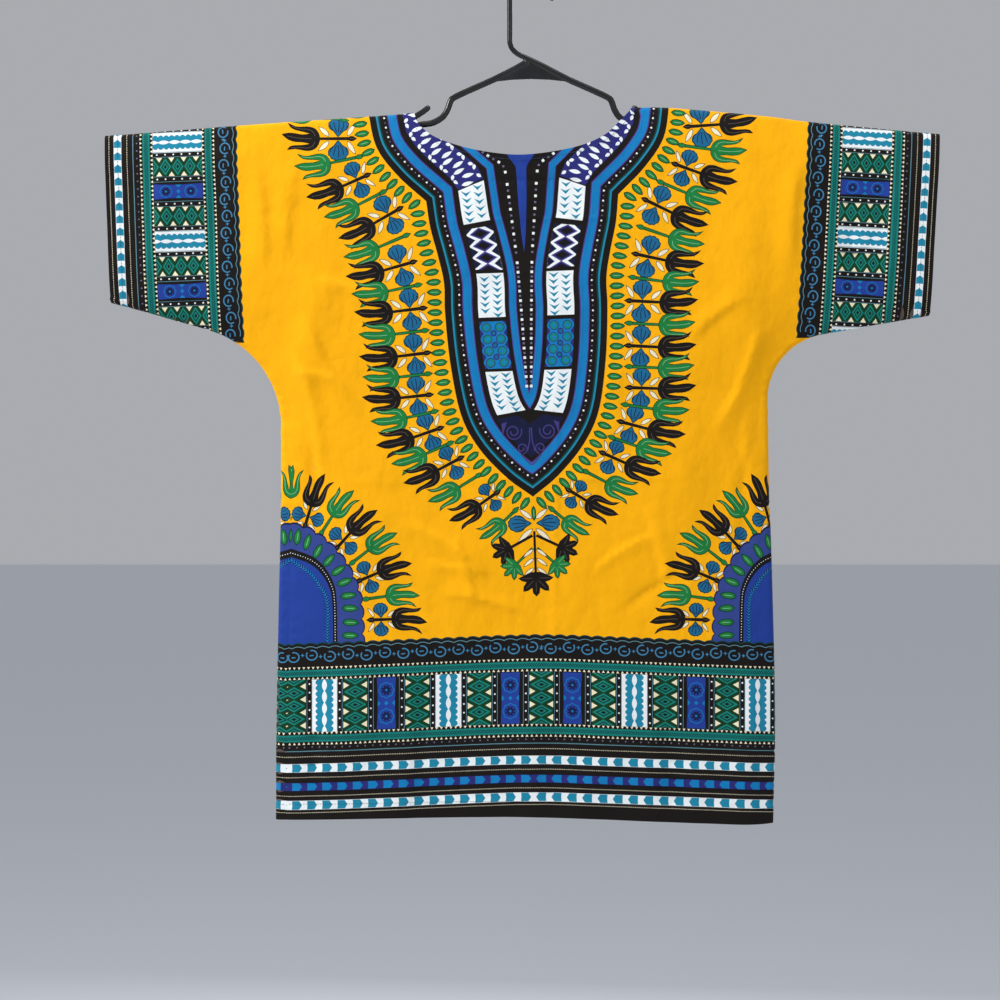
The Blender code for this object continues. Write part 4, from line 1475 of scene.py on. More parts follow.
    def __init__(self, line_step: float = 0.004) -> None:
        """Draws the two shoulder folds and the two lines from cuff to hem under the arms."""
        self.line_step = line_step
        middle = (self.body_middle, -0.4)
        left_cuff = unit(np.subtract(self.left_cuff_foot, self.left_cuff_top))
        right_cuff = unit(np.subtract(self.right_cuff_foot, self.right_cuff_top))
        left_under = self._underarm(
            self.left_cuff_foot, self.left_armpit, self.left_side, self.left_armpit_radius
        )
        right_under = self._underarm(
            self.right_cuff_foot, self.right_armpit, self.right_side, self.right_armpit_radius
        )
        neck_left = unit(np.subtract(self.neckline[0], self.left_neck))
        neck_right = unit(np.subtract(self.neckline[-1], self.right_neck))
        hem_left = unit(np.subtract(self.hem[0], self.left_side[-1]))
        hem_right = unit(np.subtract(self.hem[-1], self.right_side[-1]))
        self.left_fold = Rim(smooth_curve(self.left_shoulder, line_step), middle, left_cuff, neck_left)
        self.right_fold = Rim(smooth_curve(self.right_shoulder, line_step), middle, neck_right, right_cuff)
        self.left_under = Rim(left_under, middle, -left_cuff, hem_left)
        self.right_under = Rim(right_under, middle, -right_cuff, hem_right)
        self.rims = (self.left_fold, self.right_fold, self.left_under, self.right_under)

    def _underarm(self, cuff: Run, corner: Run, side: Run, radius: float) -> Points:
        """The underside of a sleeve, the round armpit and the side below it."""
        cuff, corner, below = np.array(cuff), np.array(corner), np.array(side)
        back, down = unit(cuff - corner), unit(below[0] - corner)
        half = math.acos(float(back @ down)) / 2
        middle = corner + unit(back + down) * radius / math.sin(half)
        first = corner + back * radius / math.tan(half) - middle
        last = corner + down * radius / math.tan(half) - middle
        start = math.atan2(first[1], first[0])
        sweep = (math.atan2(last[1], last[0]) - start + math.pi) % (2 * math.pi) - math.pi
        count = math.ceil(radius * abs(sweep) / self.line_step) + 1
        bend = arc(middle, radius, math.degrees(start), math.degrees(start + sweep), count)
        lower = smooth_curve(np.vstack([bend[-1:], below]), self.line_step)[1:]
        count = math.ceil(np.linalg.norm(bend[0] - cuff) / self.line_step)
        above = cuff + (bend[0] - cuff) * np.linspace(0, 1, count + 1)[:-1, None]
        return np.vstack([above, bend, lower])

    def seam_shift(self, height: Points) -> Points:
        """How far the side seams have turned round from the sides, to the right of the front."""
        return self.seam_turn * eased((self.turn_top - height) / (self.turn_top - self.turn_full))

    def depth_at(self, places: Points) -> Points:
        """Half of the distance between front and back, away from the folds."""
        heights, depths = zip(*self.body_depths[::-1])
        body = np.interp(places[:, 1], heights, depths)
        out = np.abs(places[:, 0] - self.body_middle) - self.sleeve_from
        return body + (self.sleeve_depth - body) * eased(out / (self.sleeve_to - self.sleeve_from))

    def lift(self, places: Points, side: Side) -> Points:
        """How far the folds, the creases and a slow waver stand out."""
        total = np.zeros(len(places))
        for crease in self.main_folds[side]:
            total += crease.lift(places)
        for crease in self.creases[side]:
            total += crease.lift(places) * self.crease_strength
        x, z = places.T
        turn = side.turn
        total += 0.0006 * np.sin(x * 41 + 2.1 * turn) * np.sin(z * 33 + 0.7 + turn)
        total += 0.0004 * np.sin(x * 83 + z * 52 + turn) * np.sin(z * 71 - x * 30)
        low = eased((-0.72 - z) / 0.2)
        return total + low * 0.0009 * np.sin(x * 62 + 1.2 * turn + 2 * np.sin(z * 9))

    def hang(self, places: Points, side: Side, near: list[Near]) -> Points:
        """Turns places on the flat cloth into points of the hanging shirt.

        Args:
            places: The places.
            side: Which panel they are on.
            near: Where they lie beside each rim.

        Returns:
            The points of the cloth's middle.
        """
        best = np.argmin([np.abs(item.distance) for item in near], axis=0)
        rows = np.arange(len(places))
        distance = np.array([item.distance for item in near])[best, rows]
        foot = np.array([item.foot for item in near])[best, rows]
        way = np.array([item.way for item in near])[best, rows]
        signed_run = distance + self.fold_extra
        run = np.abs(signed_run)
        turned = np.clip(run / self.fold_radius, 0, self.fold_turn)
        inwards = self.fold_radius * (1 - np.cos(turned))
        in_turn = run < self.fold_radius * self.fold_turn
        beyond = np.maximum(run - self.fold_radius * self.fold_turn, 0)
        moved = foot + way * (inwards + beyond)[:, None]
        seen = np.where((in_turn | (signed_run < 0))[:, None], moved, places)
        slope = 1 / math.tan(self.fold_turn)
        rise_left = self.depth_at(seen) - self.fold_radius * math.sin(self.fold_turn)
        reach = 2 * rise_left / slope
        climb = np.minimum(beyond, reach)
        depth = self.fold_radius * np.sin(turned) + slope * (climb - climb**2 / (2 * reach))
        other = Side.BACK if side is Side.FRONT else Side.FRONT
        own = self.lift(seen, side)
        bump = np.where(signed_run < 0, self.lift(seen, other), own)
        bump = bump * eased((run - self.fold_clear) / self.fold_ease)
        y = -side.turn * np.where(signed_run < 0, -1, 1) * (depth + bump)
        return np.column_stack([seen[:, 0], y, seen[:, 1]])

    def surface(
        self, places: Points, side: Side, offset: Callable[[Points], Points]
    ) -> tuple[Points, Points]:
        """One face of the cloth.

        Args:
            places: The places on the flat cloth.
            side: Which panel they are on.
            offset: How far the face stands out from the cloth's middle at given places.

        Returns:
            The face's points, and which way it faces at each.
        """
        near = [rim.nearest(places) for rim in self.rims]

        def middle_at(shift: tuple[float, float]) -> Points:
            """The cloth's middle a small step away."""
            moved = places + shift
            return self.hang(moved, side, [r.nearest(moved, n.stretch) for r, n in zip(self.rims, near)])

        step = self.step
        along = (middle_at((step, 0)) - middle_at((-step, 0))) / (2 * step)
        up = (middle_at((0, step)) - middle_at((0, -step))) / (2 * step)
        normal = unit_rows(np.cross(along, up) * side.turn)
        rise = offset(places)
        slope_along = (offset(places + (step, 0)) - offset(places - (step, 0))) / (2 * step)
        slope_up = (offset(places + (0, step)) - offset(places - (0, step))) / (2 * step)
        points = self.hang(places, side, near) + normal * rise[:, None]
        facing = normal - along * slope_along[:, None] - up * slope_up[:, None]
        return points, unit_rows(facing)


def away_from(line: Points, places: Points) -> Points:
    """How far each place is from a line."""
    first, step = line[:-1], np.diff(line, axis=0)
    found = []
    for part in np.array_split(places, len(places) // 8000 + 1):
        _, gap = beside(part[:, None], first, step)
        found.append(np.sqrt((gap**2).sum(2).min(1)))
    return np.concatenate(found)


def inside_outline(places: Points, outline: Points) -> Points:
    """Which places lie inside the closed outline."""
    found = []
    ends = np.roll(outline, -1, axis=0)
    for part in np.array_split(places, len(places) // 8000 + 1):
        above = outline[:, 1] > part[:, None, 1]
        crossing = above != (ends[:, 1] > part[:, None, 1])
        rise = np.where(crossing, ends[:, 1] - outline[:, 1], 1)
        share = (part[:, None, 1] - outline[:, 1]) / rise
        at = outline[:, 0] + share * (ends[:, 0] - outline[:, 0])
        found.append((crossing & (part[:, None, 0] < at)).sum(1) % 2 == 1)
    return np.concatenate(found)


@dataclass
class Divided:
    """A flat sheet cut into triangles, and each triangle's ink."""

    places: Points
    triangles: Points
    inks: Points

    def edges(self) -> Points:
        """The three edges of every triangle."""
        return np.vstack([self.triangles[:, [i, (i + 1) % 3]] for i in range(3)])

    def border(self) -> list[int]:
        """The places round its edge, in order, anticlockwise."""
        edges = self.edges()
        keys = edges[:, 0].astype(np.int64) * len(self.places) + edges[:, 1]
        back = edges[:, 1].astype(np.int64) * len(self.places) + edges[:, 0]
        single = edges[~np.isin(keys, back)]
        after = dict(single.tolist())
        first = min(after)
        loop = [first]
        while after[loop[-1]] != first:
            loop.append(after[loop[-1]])
        return loop


@dataclass(frozen=True)
class Face:
    """One face of a panel: how it is divided, its edge in order, its points and their directions."""

    sheet: Divided
    loop: list[int]
    points: Points
    facing: Points


def shown(name: str, data: bpy.types.ID) -> bpy.types.Object:
    """A new object in the scene."""
    made = bpy.data.objects.new(name, data)
    bpy.context.collection.objects.link(made)
    return made


def settled(made: bpy.types.Object) -> bpy.types.Mesh:
    """An object's shape as a plain mesh, its modifiers applied."""
    graph = bpy.context.evaluated_depsgraph_get()
    return bpy.data.meshes.new_from_object(made.evaluated_get(graph))


class ClothPanel:
    """The front or the back of the shirt: a printed outer face, an inner face and the edge between."""

    seam_gap: float = 0.00002
    outer_rise: float = 0.00048
    inner_rise: float = 0.00032
    hem_width: float = 0.018
    cuff_width: float = 0.015
    neck_width: float = 0.0065
    hem_rise: float = 0.00034
    edge_step: float = 0.0009
    seam_groove: float = 0.00045
    lattice: float = 0.0052
    inner_lattice: float = 0.0085
    inner_sink: float = 0.0012
    rings: tuple[float, ...] = (0.0016, 0.0032, 0.0048, 0.0064, 0.0080, 0.0096, 0.0125, 0.0165)
    ring_pitch: float = 0.005
    inner_rings: tuple[float, ...] = (0.0027, 0.0054, 0.0081, 0.0125)

    def __init__(self, form: ClothForm, side: Side) -> None:
        """Cuts the panel's outline on the flat cloth."""
        self.form = form
        self.side = side
        half = self.seam_gap / 2
        turn = side.turn
        left = half + turn * form.seam_shift(form.left_under.points[:, 1])
        right = half - turn * form.seam_shift(form.right_under.points[:, 1])
        self.left_seam = form.left_under.moved(left)
        self.right_seam = form.right_under.moved(right)
        crest = [rim.moved(0.0) for rim in form.rims]
        self.neck = self._open_edge(form.neckline, crest[0][-1], crest[1][0], half, half)
        self.right_cuff = self._open_edge((), crest[1][-1], crest[3][0], half, half)
        self.hem = self._open_edge(form.hem[::-1], crest[3][-1], crest[2][-1], right[-1], left[-1])
        self.left_cuff = self._open_edge((), crest[2][0], crest[0][0], half, half)
        runs = (
            self.neck[:-1],
            form.right_fold.moved(half)[:-1],
            self.right_cuff[:-1],
            self.right_seam[:-1],
            self.hem[:-1],
            self.left_seam[::-1][:-1],
            self.left_cuff[:-1],
            form.left_fold.moved(half)[:-1],
        )
        self.outline = np.vstack(runs)[::-1]

    def _open_edge(self, points: Run, start: Points, end: Points, start_run: float, end_run: float) -> Points:
        """Points along an open edge, from one fold's crest to the other."""
        fine = smooth_curve([tuple(start), *points, tuple(end)], 0.003)
        reach = self.form.reach
        before, after = unit(fine[0] - fine[1]) * reach, unit(fine[-1] - fine[-2]) * reach
        fine = np.vstack([fine[0] + before, fine, fine[-1] + after])
        whole = lengths_along(fine)[-1] - 2 * reach
        turns = np.array((0.0016, 0.0032, 0.0048, 0.0064, 0.0080, 0.0100))
        first = [start_run] + [run for run in np.r_[-turns[::-1], 0.0, turns] if run > start_run + 0.0008]
        last = [whole - run for run in np.r_[turns[::-1], 0.0, -turns] if run > end_run + 0.0008]
        last.append(whole - end_run)
        count = math.ceil((last[0] - first[-1]) / 0.0045)
        between = list(np.linspace(first[-1], last[0], count + 1)[1:-1])
        return read_line(fine, np.array(first + between + last) + reach)

    @property
    def turned_edges(self) -> tuple[tuple[Points, float], ...]:
        """The edges that are turned in, the neck last, and how wide each turning is."""
        return (
            (self.hem, self.hem_width), (self.left_cuff, self.cuff_width),
            (self.right_cuff, self.cuff_width), (self.neck, self.neck_width),
        )

    def outer_offset(self, places: Points) -> Points:
        """How far the outer face stands out, with its turned hems and sunk seams."""
        rise = np.full(len(places), self.outer_rise)
        for line, width in self.turned_edges:
            close = self._close(places, line, width + 0.004)
            away = away_from(line, places[close])
            pucker = 0.00010 * np.sin(places[close, 0] * 1450) * np.exp(-(((away - width) / 0.004) ** 2))
            turned = eased((width + self.edge_step - away) / (2 * self.edge_step))
            rise[close] += self.hem_rise * turned + pucker
        for line in (self.left_seam, self.right_seam):
            close = self._close(places, line, 0.02)
            away = away_from(line, places[close])
            wave = 0.0003 * np.sin(places[close, 1] * 420 + 2 * np.sin(places[close, 1] * 97))
            rise[close] -= self.seam_groove * np.exp(-((away / 0.0018) ** 2))
            rise[close] += wave * np.exp(-(((away - 0.006) / 0.005) ** 2))
        return rise

    def inner_offset(self, places: Points) -> Points:
        """How far the inner face stands out, which is inwards, with its turned hems."""
        border = np.vstack([self.outline, self.outline[:1]])
        rise = -self.inner_rise - self.inner_sink * eased((away_from(border, places) - 0.024) / 0.012)
        for line, width in self.turned_edges[:3]:
            close = self._close(places, line, width + 0.004)
            rise[close] -= self.hem_rise * eased((width + 0.0015 - away_from(line, places[close])) / 0.003)
        return rise

    def _close(self, places: Points, line: Points, reach: float) -> Points:
        """Which places lie in the box round a line."""
        low, high = line.min(0) - reach, line.max(0) + reach
        return np.flatnonzero(((places > low) & (places < high)).all(1))

    def _field(self, pitch: float, rings: tuple[float, ...], steps: bool) -> Points:
        """Rows of places beside the folds and hems, and an even lattice of them between."""
        beside = []
        for rim in self.form.rims:
            lengths = lengths_along(rim.points)
            at = np.arange(self.ring_pitch / 2, lengths[-1], self.ring_pitch)
            for run in tuple(-r for r in rings[:6]) + (0.0,) + rings:
                beside.append(read_line(rim.moved(run), at / lengths[-1] * lengths_along(rim.moved(run))[-1]))
        beside = np.vstack(beside)
        edges = []
        if steps:
            for line, width in self.turned_edges:
                for off in (-1.1, 0.0, 1.1):
                    inwards = -side_ways(line) * (width + off * self.edge_step)
                    edges.append((line + inwards)[4:-4])
            edges = np.vstack(edges)
        low, high = self.outline.min(0), self.outline.max(0)
        rows = np.arange(low[1], high[1], pitch * math.sqrt(3) / 2)
        columns = np.arange(low[0], high[0], pitch)
        lattice = np.array([(x + (j % 2) * pitch / 2, z) for j, z in enumerate(rows) for x in columns])
        lattice = lattice[inside_outline(lattice, self.outline)]
        runs = np.min([rim.nearest(lattice).distance for rim in self.form.rims], axis=0)
        lattice = lattice[runs + self.form.fold_extra > rings[-1] + 0.003]
        closed = np.vstack([self.outline, self.outline[:1]])
        lattice = lattice[away_from(closed, lattice) > 0.0022]
        beside = beside[inside_outline(beside, self.outline)]
        beside = beside[away_from(closed, beside) > 0.0011]
        found = [beside, lattice]
        if steps:
            found.append(edges[inside_outline(edges, self.outline)])
        return np.vstack(found)

    def _printed(self) -> PrintSheet:
        """The print as it lies on this panel, in millimetres."""
        sheet = ShirtPrint().sheet()
        if self.side is Side.FRONT:
            return sheet
        moved = PrintSheet()
        for outline, ink in zip(sheet.outlines, sheet.inks):
            shift = self.form.seam_shift(outline[:, 1] * MM) / MM
            moved.add(outline - np.column_stack([2 * shift, 0 * shift]), ink)
        return moved

    def divide(self) -> Divided:
        """Divides the outer face along every printed outline."""
        sheet = self._printed()
        outlines = [self.outline / MM]
        inks = [Ink.GROUND]
        low, high = self.outline.min(0) / MM, self.outline.max(0) / MM
        for outline, ink in zip(sheet.outlines, sheet.inks):
            if (outline.max(0) > low).all() and (outline.min(0) < high).all():
                outlines.append(outline)
                inks.append(ink)
        field_places = self._field(self.lattice, self.rings, True) / MM
        return self._cut(outlines, inks, field_places, 1e-6)

    def _cut(self, outlines: list[Points], inks: list[Ink], extra: Points, near: float) -> Divided:
        """Cuts the first outline's inside along all the others.

        Args:
            outlines: The outlines in millimetres, the panel's own first.
            inks: Their inks.
            extra: More places that triangles should meet at.
            near: How close two places may be before they are one.

        Returns:
            The triangles, each with the ink painted last there.
        """
        places = [Vector(p) for outline in outlines for p in outline.tolist()]
        faces, start = [], 0
        for outline in outlines:
            faces.append(list(range(start, start + len(outline))))
            start += len(outline)
        places += [Vector(p) for p in extra.tolist()]
        found, _, triangles, _, _, owners = delaunay_2d_cdt(places, [], faces, 1, near)
        kept = [(t, inks[max(o)]) for t, o in zip(triangles, owners) if o and min(o) == 0]
        order = list(Ink)
        numbers = np.array([order.index(ink) for _, ink in kept])
        corners = np.array([t for t, _ in kept])
        flat = np.array([tuple(p) for p in found]) * MM
        used, corners = np.unique(corners, return_inverse=True)
        return Divided(flat[used], corners.reshape(-1, 3), numbers)

    def build(self, weave: dict[Ink, bpy.types.Material]) -> bpy.types.Object:
        """Makes the panel's mesh.

        Args:
            weave: A material for each ink.

        Returns:
            The panel, at the origin.
        """
        outer = self._face(self.divide(), self.outer_offset)
        LOG.info("%s: %d outer triangles", self.side.value, len(outer.sheet.triangles))
        zones, inks = self._lining_zones(outer.sheet.places[outer.loop])
        more = self._field(self.inner_lattice, self.inner_rings, False) / MM
        inner = self._face(self._cut(zones, inks, more, 1e-6), self.inner_offset)
        return self._assemble(weave, outer, replace(inner, facing=-inner.facing))

    def _face(self, sheet: Divided, offset: Callable[[Points], Points]) -> Face:
        """One divided face of the cloth, hung this far from its middle."""
        return Face(sheet, sheet.border(), *self.form.surface(sheet.places, self.side, offset))

    def _lining_zones(self, border: Points) -> tuple[list[Points], list[Ink]]:
        """The inner face's outline and the paler zones of print that show through it."""
        sheet = PrintSheet()
        printed = ShirtPrint()
        place = printed._on_hem
        at = np.linspace(-330, 320, 30)
        hem = np.vstack([np.column_stack([at, 0 * at]), [(320, 230), (-330, 230)]])
        sheet.add(place(hem), Ink.CHARCOAL)
        yoke = printed.yoke
        sheet.add(yoke.place(both_halves(yoke.edge(0.0)[::-1])), Ink.CHARCOAL)
        for (top, foot), side in printed.cuffs:
            down = unit(np.subtract(foot, top))
            inwards = np.array((-down[1], down[0])) * side
            top, foot = np.asarray(top) - down * 30, np.asarray(foot) + down * 30
            deep = SLEEVE_BORDER.depth
            sides = ((top, -20), (foot, -20), (foot, deep), (top, deep))
            sheet.add(np.array([end + inwards * reach for end, reach in sides]), Ink.CHARCOAL)
        outlines, inks = [border / MM], [Ink.REVERSE]
        for outline, ink in zip(sheet.outlines, sheet.inks):
            outlines.append(inset(outline, 0.0))
            inks.append(ink)
        return outlines, inks

    def _assemble(self, weave: dict[Ink, bpy.types.Material], outer: Face, inner: Face) -> bpy.types.Object:
        """Joins the two faces round their edge into one closed shell."""
        outer_at, inner_at = outer.sheet.places[outer.loop], inner.sheet.places
        start = int(np.argmin(np.linalg.norm(inner_at[inner.loop] - outer_at[0], axis=1)))
        inner_loop = inner.loop[start:] + inner.loop[:start]
        offset = len(outer.points)
        forwards = self.side is Side.FRONT
        faces, linings = outer.sheet.triangles, inner.sheet.triangles + offset
        wall, owners = self._bridge(
            outer_at, inner_at[inner_loop], outer.loop, [i + offset for i in inner_loop]
        )
        if forwards:
            linings = linings[:, ::-1]
        else:
            faces, wall = faces[:, ::-1], wall[:, ::-1]
        triangles = np.vstack([faces, linings, wall])
        points = np.vstack([outer.points, inner.points])
        wall_ink = list(Ink).index(Ink.CHARCOAL)
        edge_of = {}
        for (p, q), ink in zip(outer.sheet.edges().tolist(), np.tile(outer.sheet.inks, 3).tolist()):
            edge_of[(p, q)] = ink
        rim_inks = [edge_of.get(edge, wall_ink) for edge in owners]
        inks = np.concatenate([outer.sheet.inks, inner.sheet.inks, rim_inks])
        mesh = bpy.data.meshes.new(f"{self.side.value}_cloth")
        mesh.from_pydata(points.tolist(), [], triangles.tolist())
        used = sorted(set(inks.tolist()))
        for number in used:
            mesh.materials.append(weave[list(Ink)[number]])
        slot_of = {number: place for place, number in enumerate(used)}
        mesh.polygons.foreach_set("material_index", [slot_of[n] for n in inks.tolist()])
        facing = np.vstack([outer.facing, inner.facing])
        self._facings(mesh, triangles, points, facing, len(faces) + len(linings))
        self._unwrap(mesh, np.vstack([outer.sheet.places, inner_at]), triangles)
        return shown(mesh.name, mesh)

    def _bridge(
        self, outer_at: Points, inner_at: Points, outer: list[int], inner: list[int]
    ) -> tuple[Points, list[tuple[int, int]]]:
        """The strip of triangles between the edges of the two faces.

        Args:
            outer_at: The outer edge's places.
            inner_at: The inner edge's.
            outer: The outer edge's points, in order.
            inner: The inner edge's.

        Returns:
            The triangles, and the stretch of outer edge that each lies beside.
        """
        shares = []
        for places in (outer_at, inner_at):
            lengths = lengths_along(np.vstack([places, places[:1]]))
            shares.append(lengths / lengths[-1])
        triangles, owners, i, j = [], [], 0, 0
        while i < len(outer) or j < len(inner):
            here, there = outer[i % len(outer)], inner[j % len(inner)]
            owner = (outer[min(i, len(outer) - 1)], outer[(min(i, len(outer) - 1) + 1) % len(outer)])
            if j >= len(inner) or (i < len(outer) and shares[0][i + 1] <= shares[1][j + 1]):
                i += 1
                triangles.append((outer[i % len(outer)], here, there))
            else:
                j += 1
                triangles.append((here, there, inner[j % len(inner)]))
            owners.append(owner)
        return np.array(triangles), owners

    def _facings(
        self, mesh: bpy.types.Mesh, triangles: Points, points: Points, facing: Points, skins: int
    ) -> None:
        """Gives each corner the way that the smooth cloth faces there."""
        facing = facing[triangles]
        corners = points[triangles[skins:]]
        flat = np.cross(corners[:, 1] - corners[:, 0], corners[:, 2] - corners[:, 0])
        flat /= np.maximum(np.linalg.norm(flat, axis=1), 1e-12)[:, None]
        facing[skins:] = flat[:, None]
        mesh.polygons.foreach_set("use_smooth", [True] * len(triangles))
        mesh.normals_split_custom_set(facing.reshape(-1, 3).tolist())

    def _unwrap(self, mesh: bpy.types.Mesh, places: Points, triangles: Points) -> None:
        """Lays both faces out flat in one map."""
        low, high = self.outline.min(0), self.outline.max(0)
        flat = 0.005 + 0.99 * (places - low) / (high - low).max()
        layer = mesh.uv_layers.new(name="OFBake")
        layer.data.foreach_set("uv", flat[triangles].reshape(-1))


# ---------------------------------------------------------------- the hanger


class Plastic:
    """Satin black moulded plastic, with a fine mould texture, greyer patches and rougher, worn ones."""

    def material(self) -> bpy.types.Material:
        """Builds the material."""
        made = bpy.data.materials.new("satin black plastic")
        made.use_nodes = True
        tree = made.node_tree
        shader = tree.nodes["Principled BSDF"]
        shader.inputs["Specular IOR Level"].default_value = 0.55
        place = tree.nodes.new("ShaderNodeTexCoord").outputs["Object"]
        noises = [{"Scale": cells, "Detail": detail} for cells, detail in ((60, 4), (130, 5), (900, 3))]
        shade, wear, grain = (
            add_node(tree, "ShaderNodeTexNoise", {"Vector": place, **noise}).outputs["Fac"] for noise in noises
        )
        tint = add_node(tree, "ShaderNodeValToRGB", {"Fac": shade})
        for element, position, hue in zip(tint.color_ramp.elements, (0.35, 0.75), ("0b0b0c", "1c1b1d")):
            element.position = position
            element.color = linear(hue)
        rough = add_node(tree, "ShaderNodeMapRange", {"To Min": 0.22, "To Max": 0.40, "Value": wear})
        bump = add_node(tree, "ShaderNodeBump", {"Distance": 0.00004, "Height": grain})
        tree.links.new(tint.outputs["Color"], shader.inputs["Base Color"])
        tree.links.new(rough.outputs["Result"], shader.inputs["Roughness"])
        tree.links.new(bump.outputs["Normal"], shader.inputs["Normal"])
        return made


@dataclass(frozen=True)
class Hanger:
    """The tubular plastic hanger, moulded in one: hook, bent stem, arms with strap notches and bar."""

    tube: float = 0.00365
    hook_tube: float = 0.0030
    tip_tube: float = 0.00336
    hook_radius: float = 0.023
    hook_opening: float = -12.0
    stem_foot: float = -0.066
    neck: Run = (
        (-0.0230, -0.0720), (-0.0205, -0.0790), (-0.0140, -0.0850), (-0.0040, -0.0895),
        (0.0080, -0.0955), (0.0220, -0.1030), (0.0403, -0.1124),
    )
    arm: Run = (
        (-0.0403, -0.1124), (-0.0805, -0.1305), (-0.0868, -0.1360), (-0.0897, -0.1440),
        (-0.0950, -0.1525), (-0.1060, -0.1590), (-0.1210, -0.1615), (-0.1400, -0.1680),
        (-0.2020, -0.1955), (-0.2120, -0.2020), (-0.2160, -0.2110), (-0.2125, -0.2190),
        (-0.2050, -0.2230), (-0.1950, -0.2230),
    )
    join: Run = ((-0.0060, -0.0945), (-0.0200, -0.1022), (-0.0403, -0.1124))
    tip: Run = (
        (-0.1115, -0.1432), (-0.1175, -0.1478), (-0.1255, -0.1530), (-0.1300, -0.1590), (-0.1345, -0.1640),
    )
    bar_height: float = -0.2230
    bar_half: float = 0.196
    web_thickness: float = 0.0034
    web: Run = (
        (-0.0400, -0.1110), (-0.0200, -0.1015), (-0.0050, -0.0915), (0.0150, -0.1005), (0.0400, -0.1110),
        (0.0385, -0.1148), (0.0200, -0.1128), (0.0, -0.1120), (-0.0200, -0.1128), (-0.0385, -0.1148),
    )
    voxel: float = 0.0008

    def build(self, material: bpy.types.Material) -> bpy.types.Object:
        """Moulds the hanger in one piece.

        Args:
            material: The plastic.

        Returns:
            The hanger, at the origin.
        """
        centre = (0.0, self.hook_tube - self.hook_radius)
        hook = arc(centre, self.hook_radius, self.hook_opening, 180, 40)
        start = np.array(((-self.hook_radius, -0.045), (-self.hook_radius, self.stem_foot)))
        spine = np.vstack([hook, start, smooth_curve(self.neck, 0.003)])
        lengths = lengths_along(spine)
        grown = eased((lengths - lengths[-1] + 0.055) / 0.03)
        radii = self.hook_tube + (self.tube - self.hook_tube) * grown
        arm = smooth_curve(self.arm, 0.004)
        tip = smooth_curve(self.tip, 0.002)
        bar = np.array(((-self.bar_half, self.bar_height), (self.bar_half, self.bar_height)))
        parts = [
            self._tube(spine, radii),
            self._tube(arm, self.tube),
            self._tube(arm * (-1, 1), self.tube),
            self._tube(smooth_curve(self.join, 0.004), self.tube),
            self._tube(tip, self.tip_tube),
            self._tube(tip * (-1, 1), self.tip_tube),
            self._tube(bar, self.tube),
            self._plate(),
        ]
        hanger = self._joined(parts)
        remesh = hanger.modifiers.new("mould", "REMESH")
        remesh.mode = "VOXEL"
        remesh.voxel_size = self.voxel
        remesh.use_smooth_shade = True
        soften = hanger.modifiers.new("soften", "SMOOTH")
        soften.factor = 0.5
        soften.iterations = 6
        mesh = settled(hanger)
        hanger.modifiers.clear()
        hanger.data = mesh
        hanger.data.materials.clear()
        hanger.data.materials.append(material)
        hanger.name = "hanger"
        return hanger

    def _tube(self, line: Points, radius: float | Points) -> bpy.types.Object:
        """A round bar with round ends along a line."""
        curve = bpy.data.curves.new("bar", "CURVE")
        curve.dimensions = "3D"
        curve.bevel_depth = 1.0
        curve.bevel_resolution = 6
        curve.use_fill_caps = True
        thick = np.broadcast_to(np.asarray(radius, float), len(line))
        before = unit(line[0] - line[1])
        after = unit(line[-1] - line[-2])
        rounds = np.radians((80, 60, 35))
        first = [line[0] + before * thick[0] * math.sin(t) for t in rounds]
        last = [line[-1] + after * thick[-1] * math.sin(t) for t in rounds[::-1]]
        whole = np.vstack([first, line, last])
        size = np.r_[thick[0] * np.cos(rounds), thick, thick[-1] * np.cos(rounds[::-1])]
        spline = curve.splines.new("POLY")
        spline.points.add(len(whole) - 1)
        for point, (x, z), r in zip(spline.points, whole, size):
            point.co = (x, 0, z, 1)
            point.radius = r
        made = shown("bar", curve)
        mesh = settled(made)
        bpy.data.objects.remove(made)
        return shown("bar", mesh)

    def _plate(self) -> bpy.types.Object:
        """The flat web between the arms."""
        half, count = self.web_thickness / 2, len(self.web)
        points = [(x, y, z) for y in (-half, half) for x, z in self.web]
        faces = [tuple(range(count))[::-1], tuple(range(count, 2 * count))]
        faces += [(i, (i + 1) % count, (i + 1) % count + count, i + count) for i in range(count)]
        mesh = bpy.data.meshes.new("web")
        mesh.from_pydata(points, [], faces)
        return shown("web", mesh)

    def _joined(self, parts: list[bpy.types.Object]) -> bpy.types.Object:
        """All the parts as one object."""
        with bpy.context.temp_override(
            active_object=parts[0], selected_objects=parts, selected_editable_objects=parts
        ):
            bpy.ops.object.join()
        return parts[0]


# ---------------------------------------------------------------- stitches


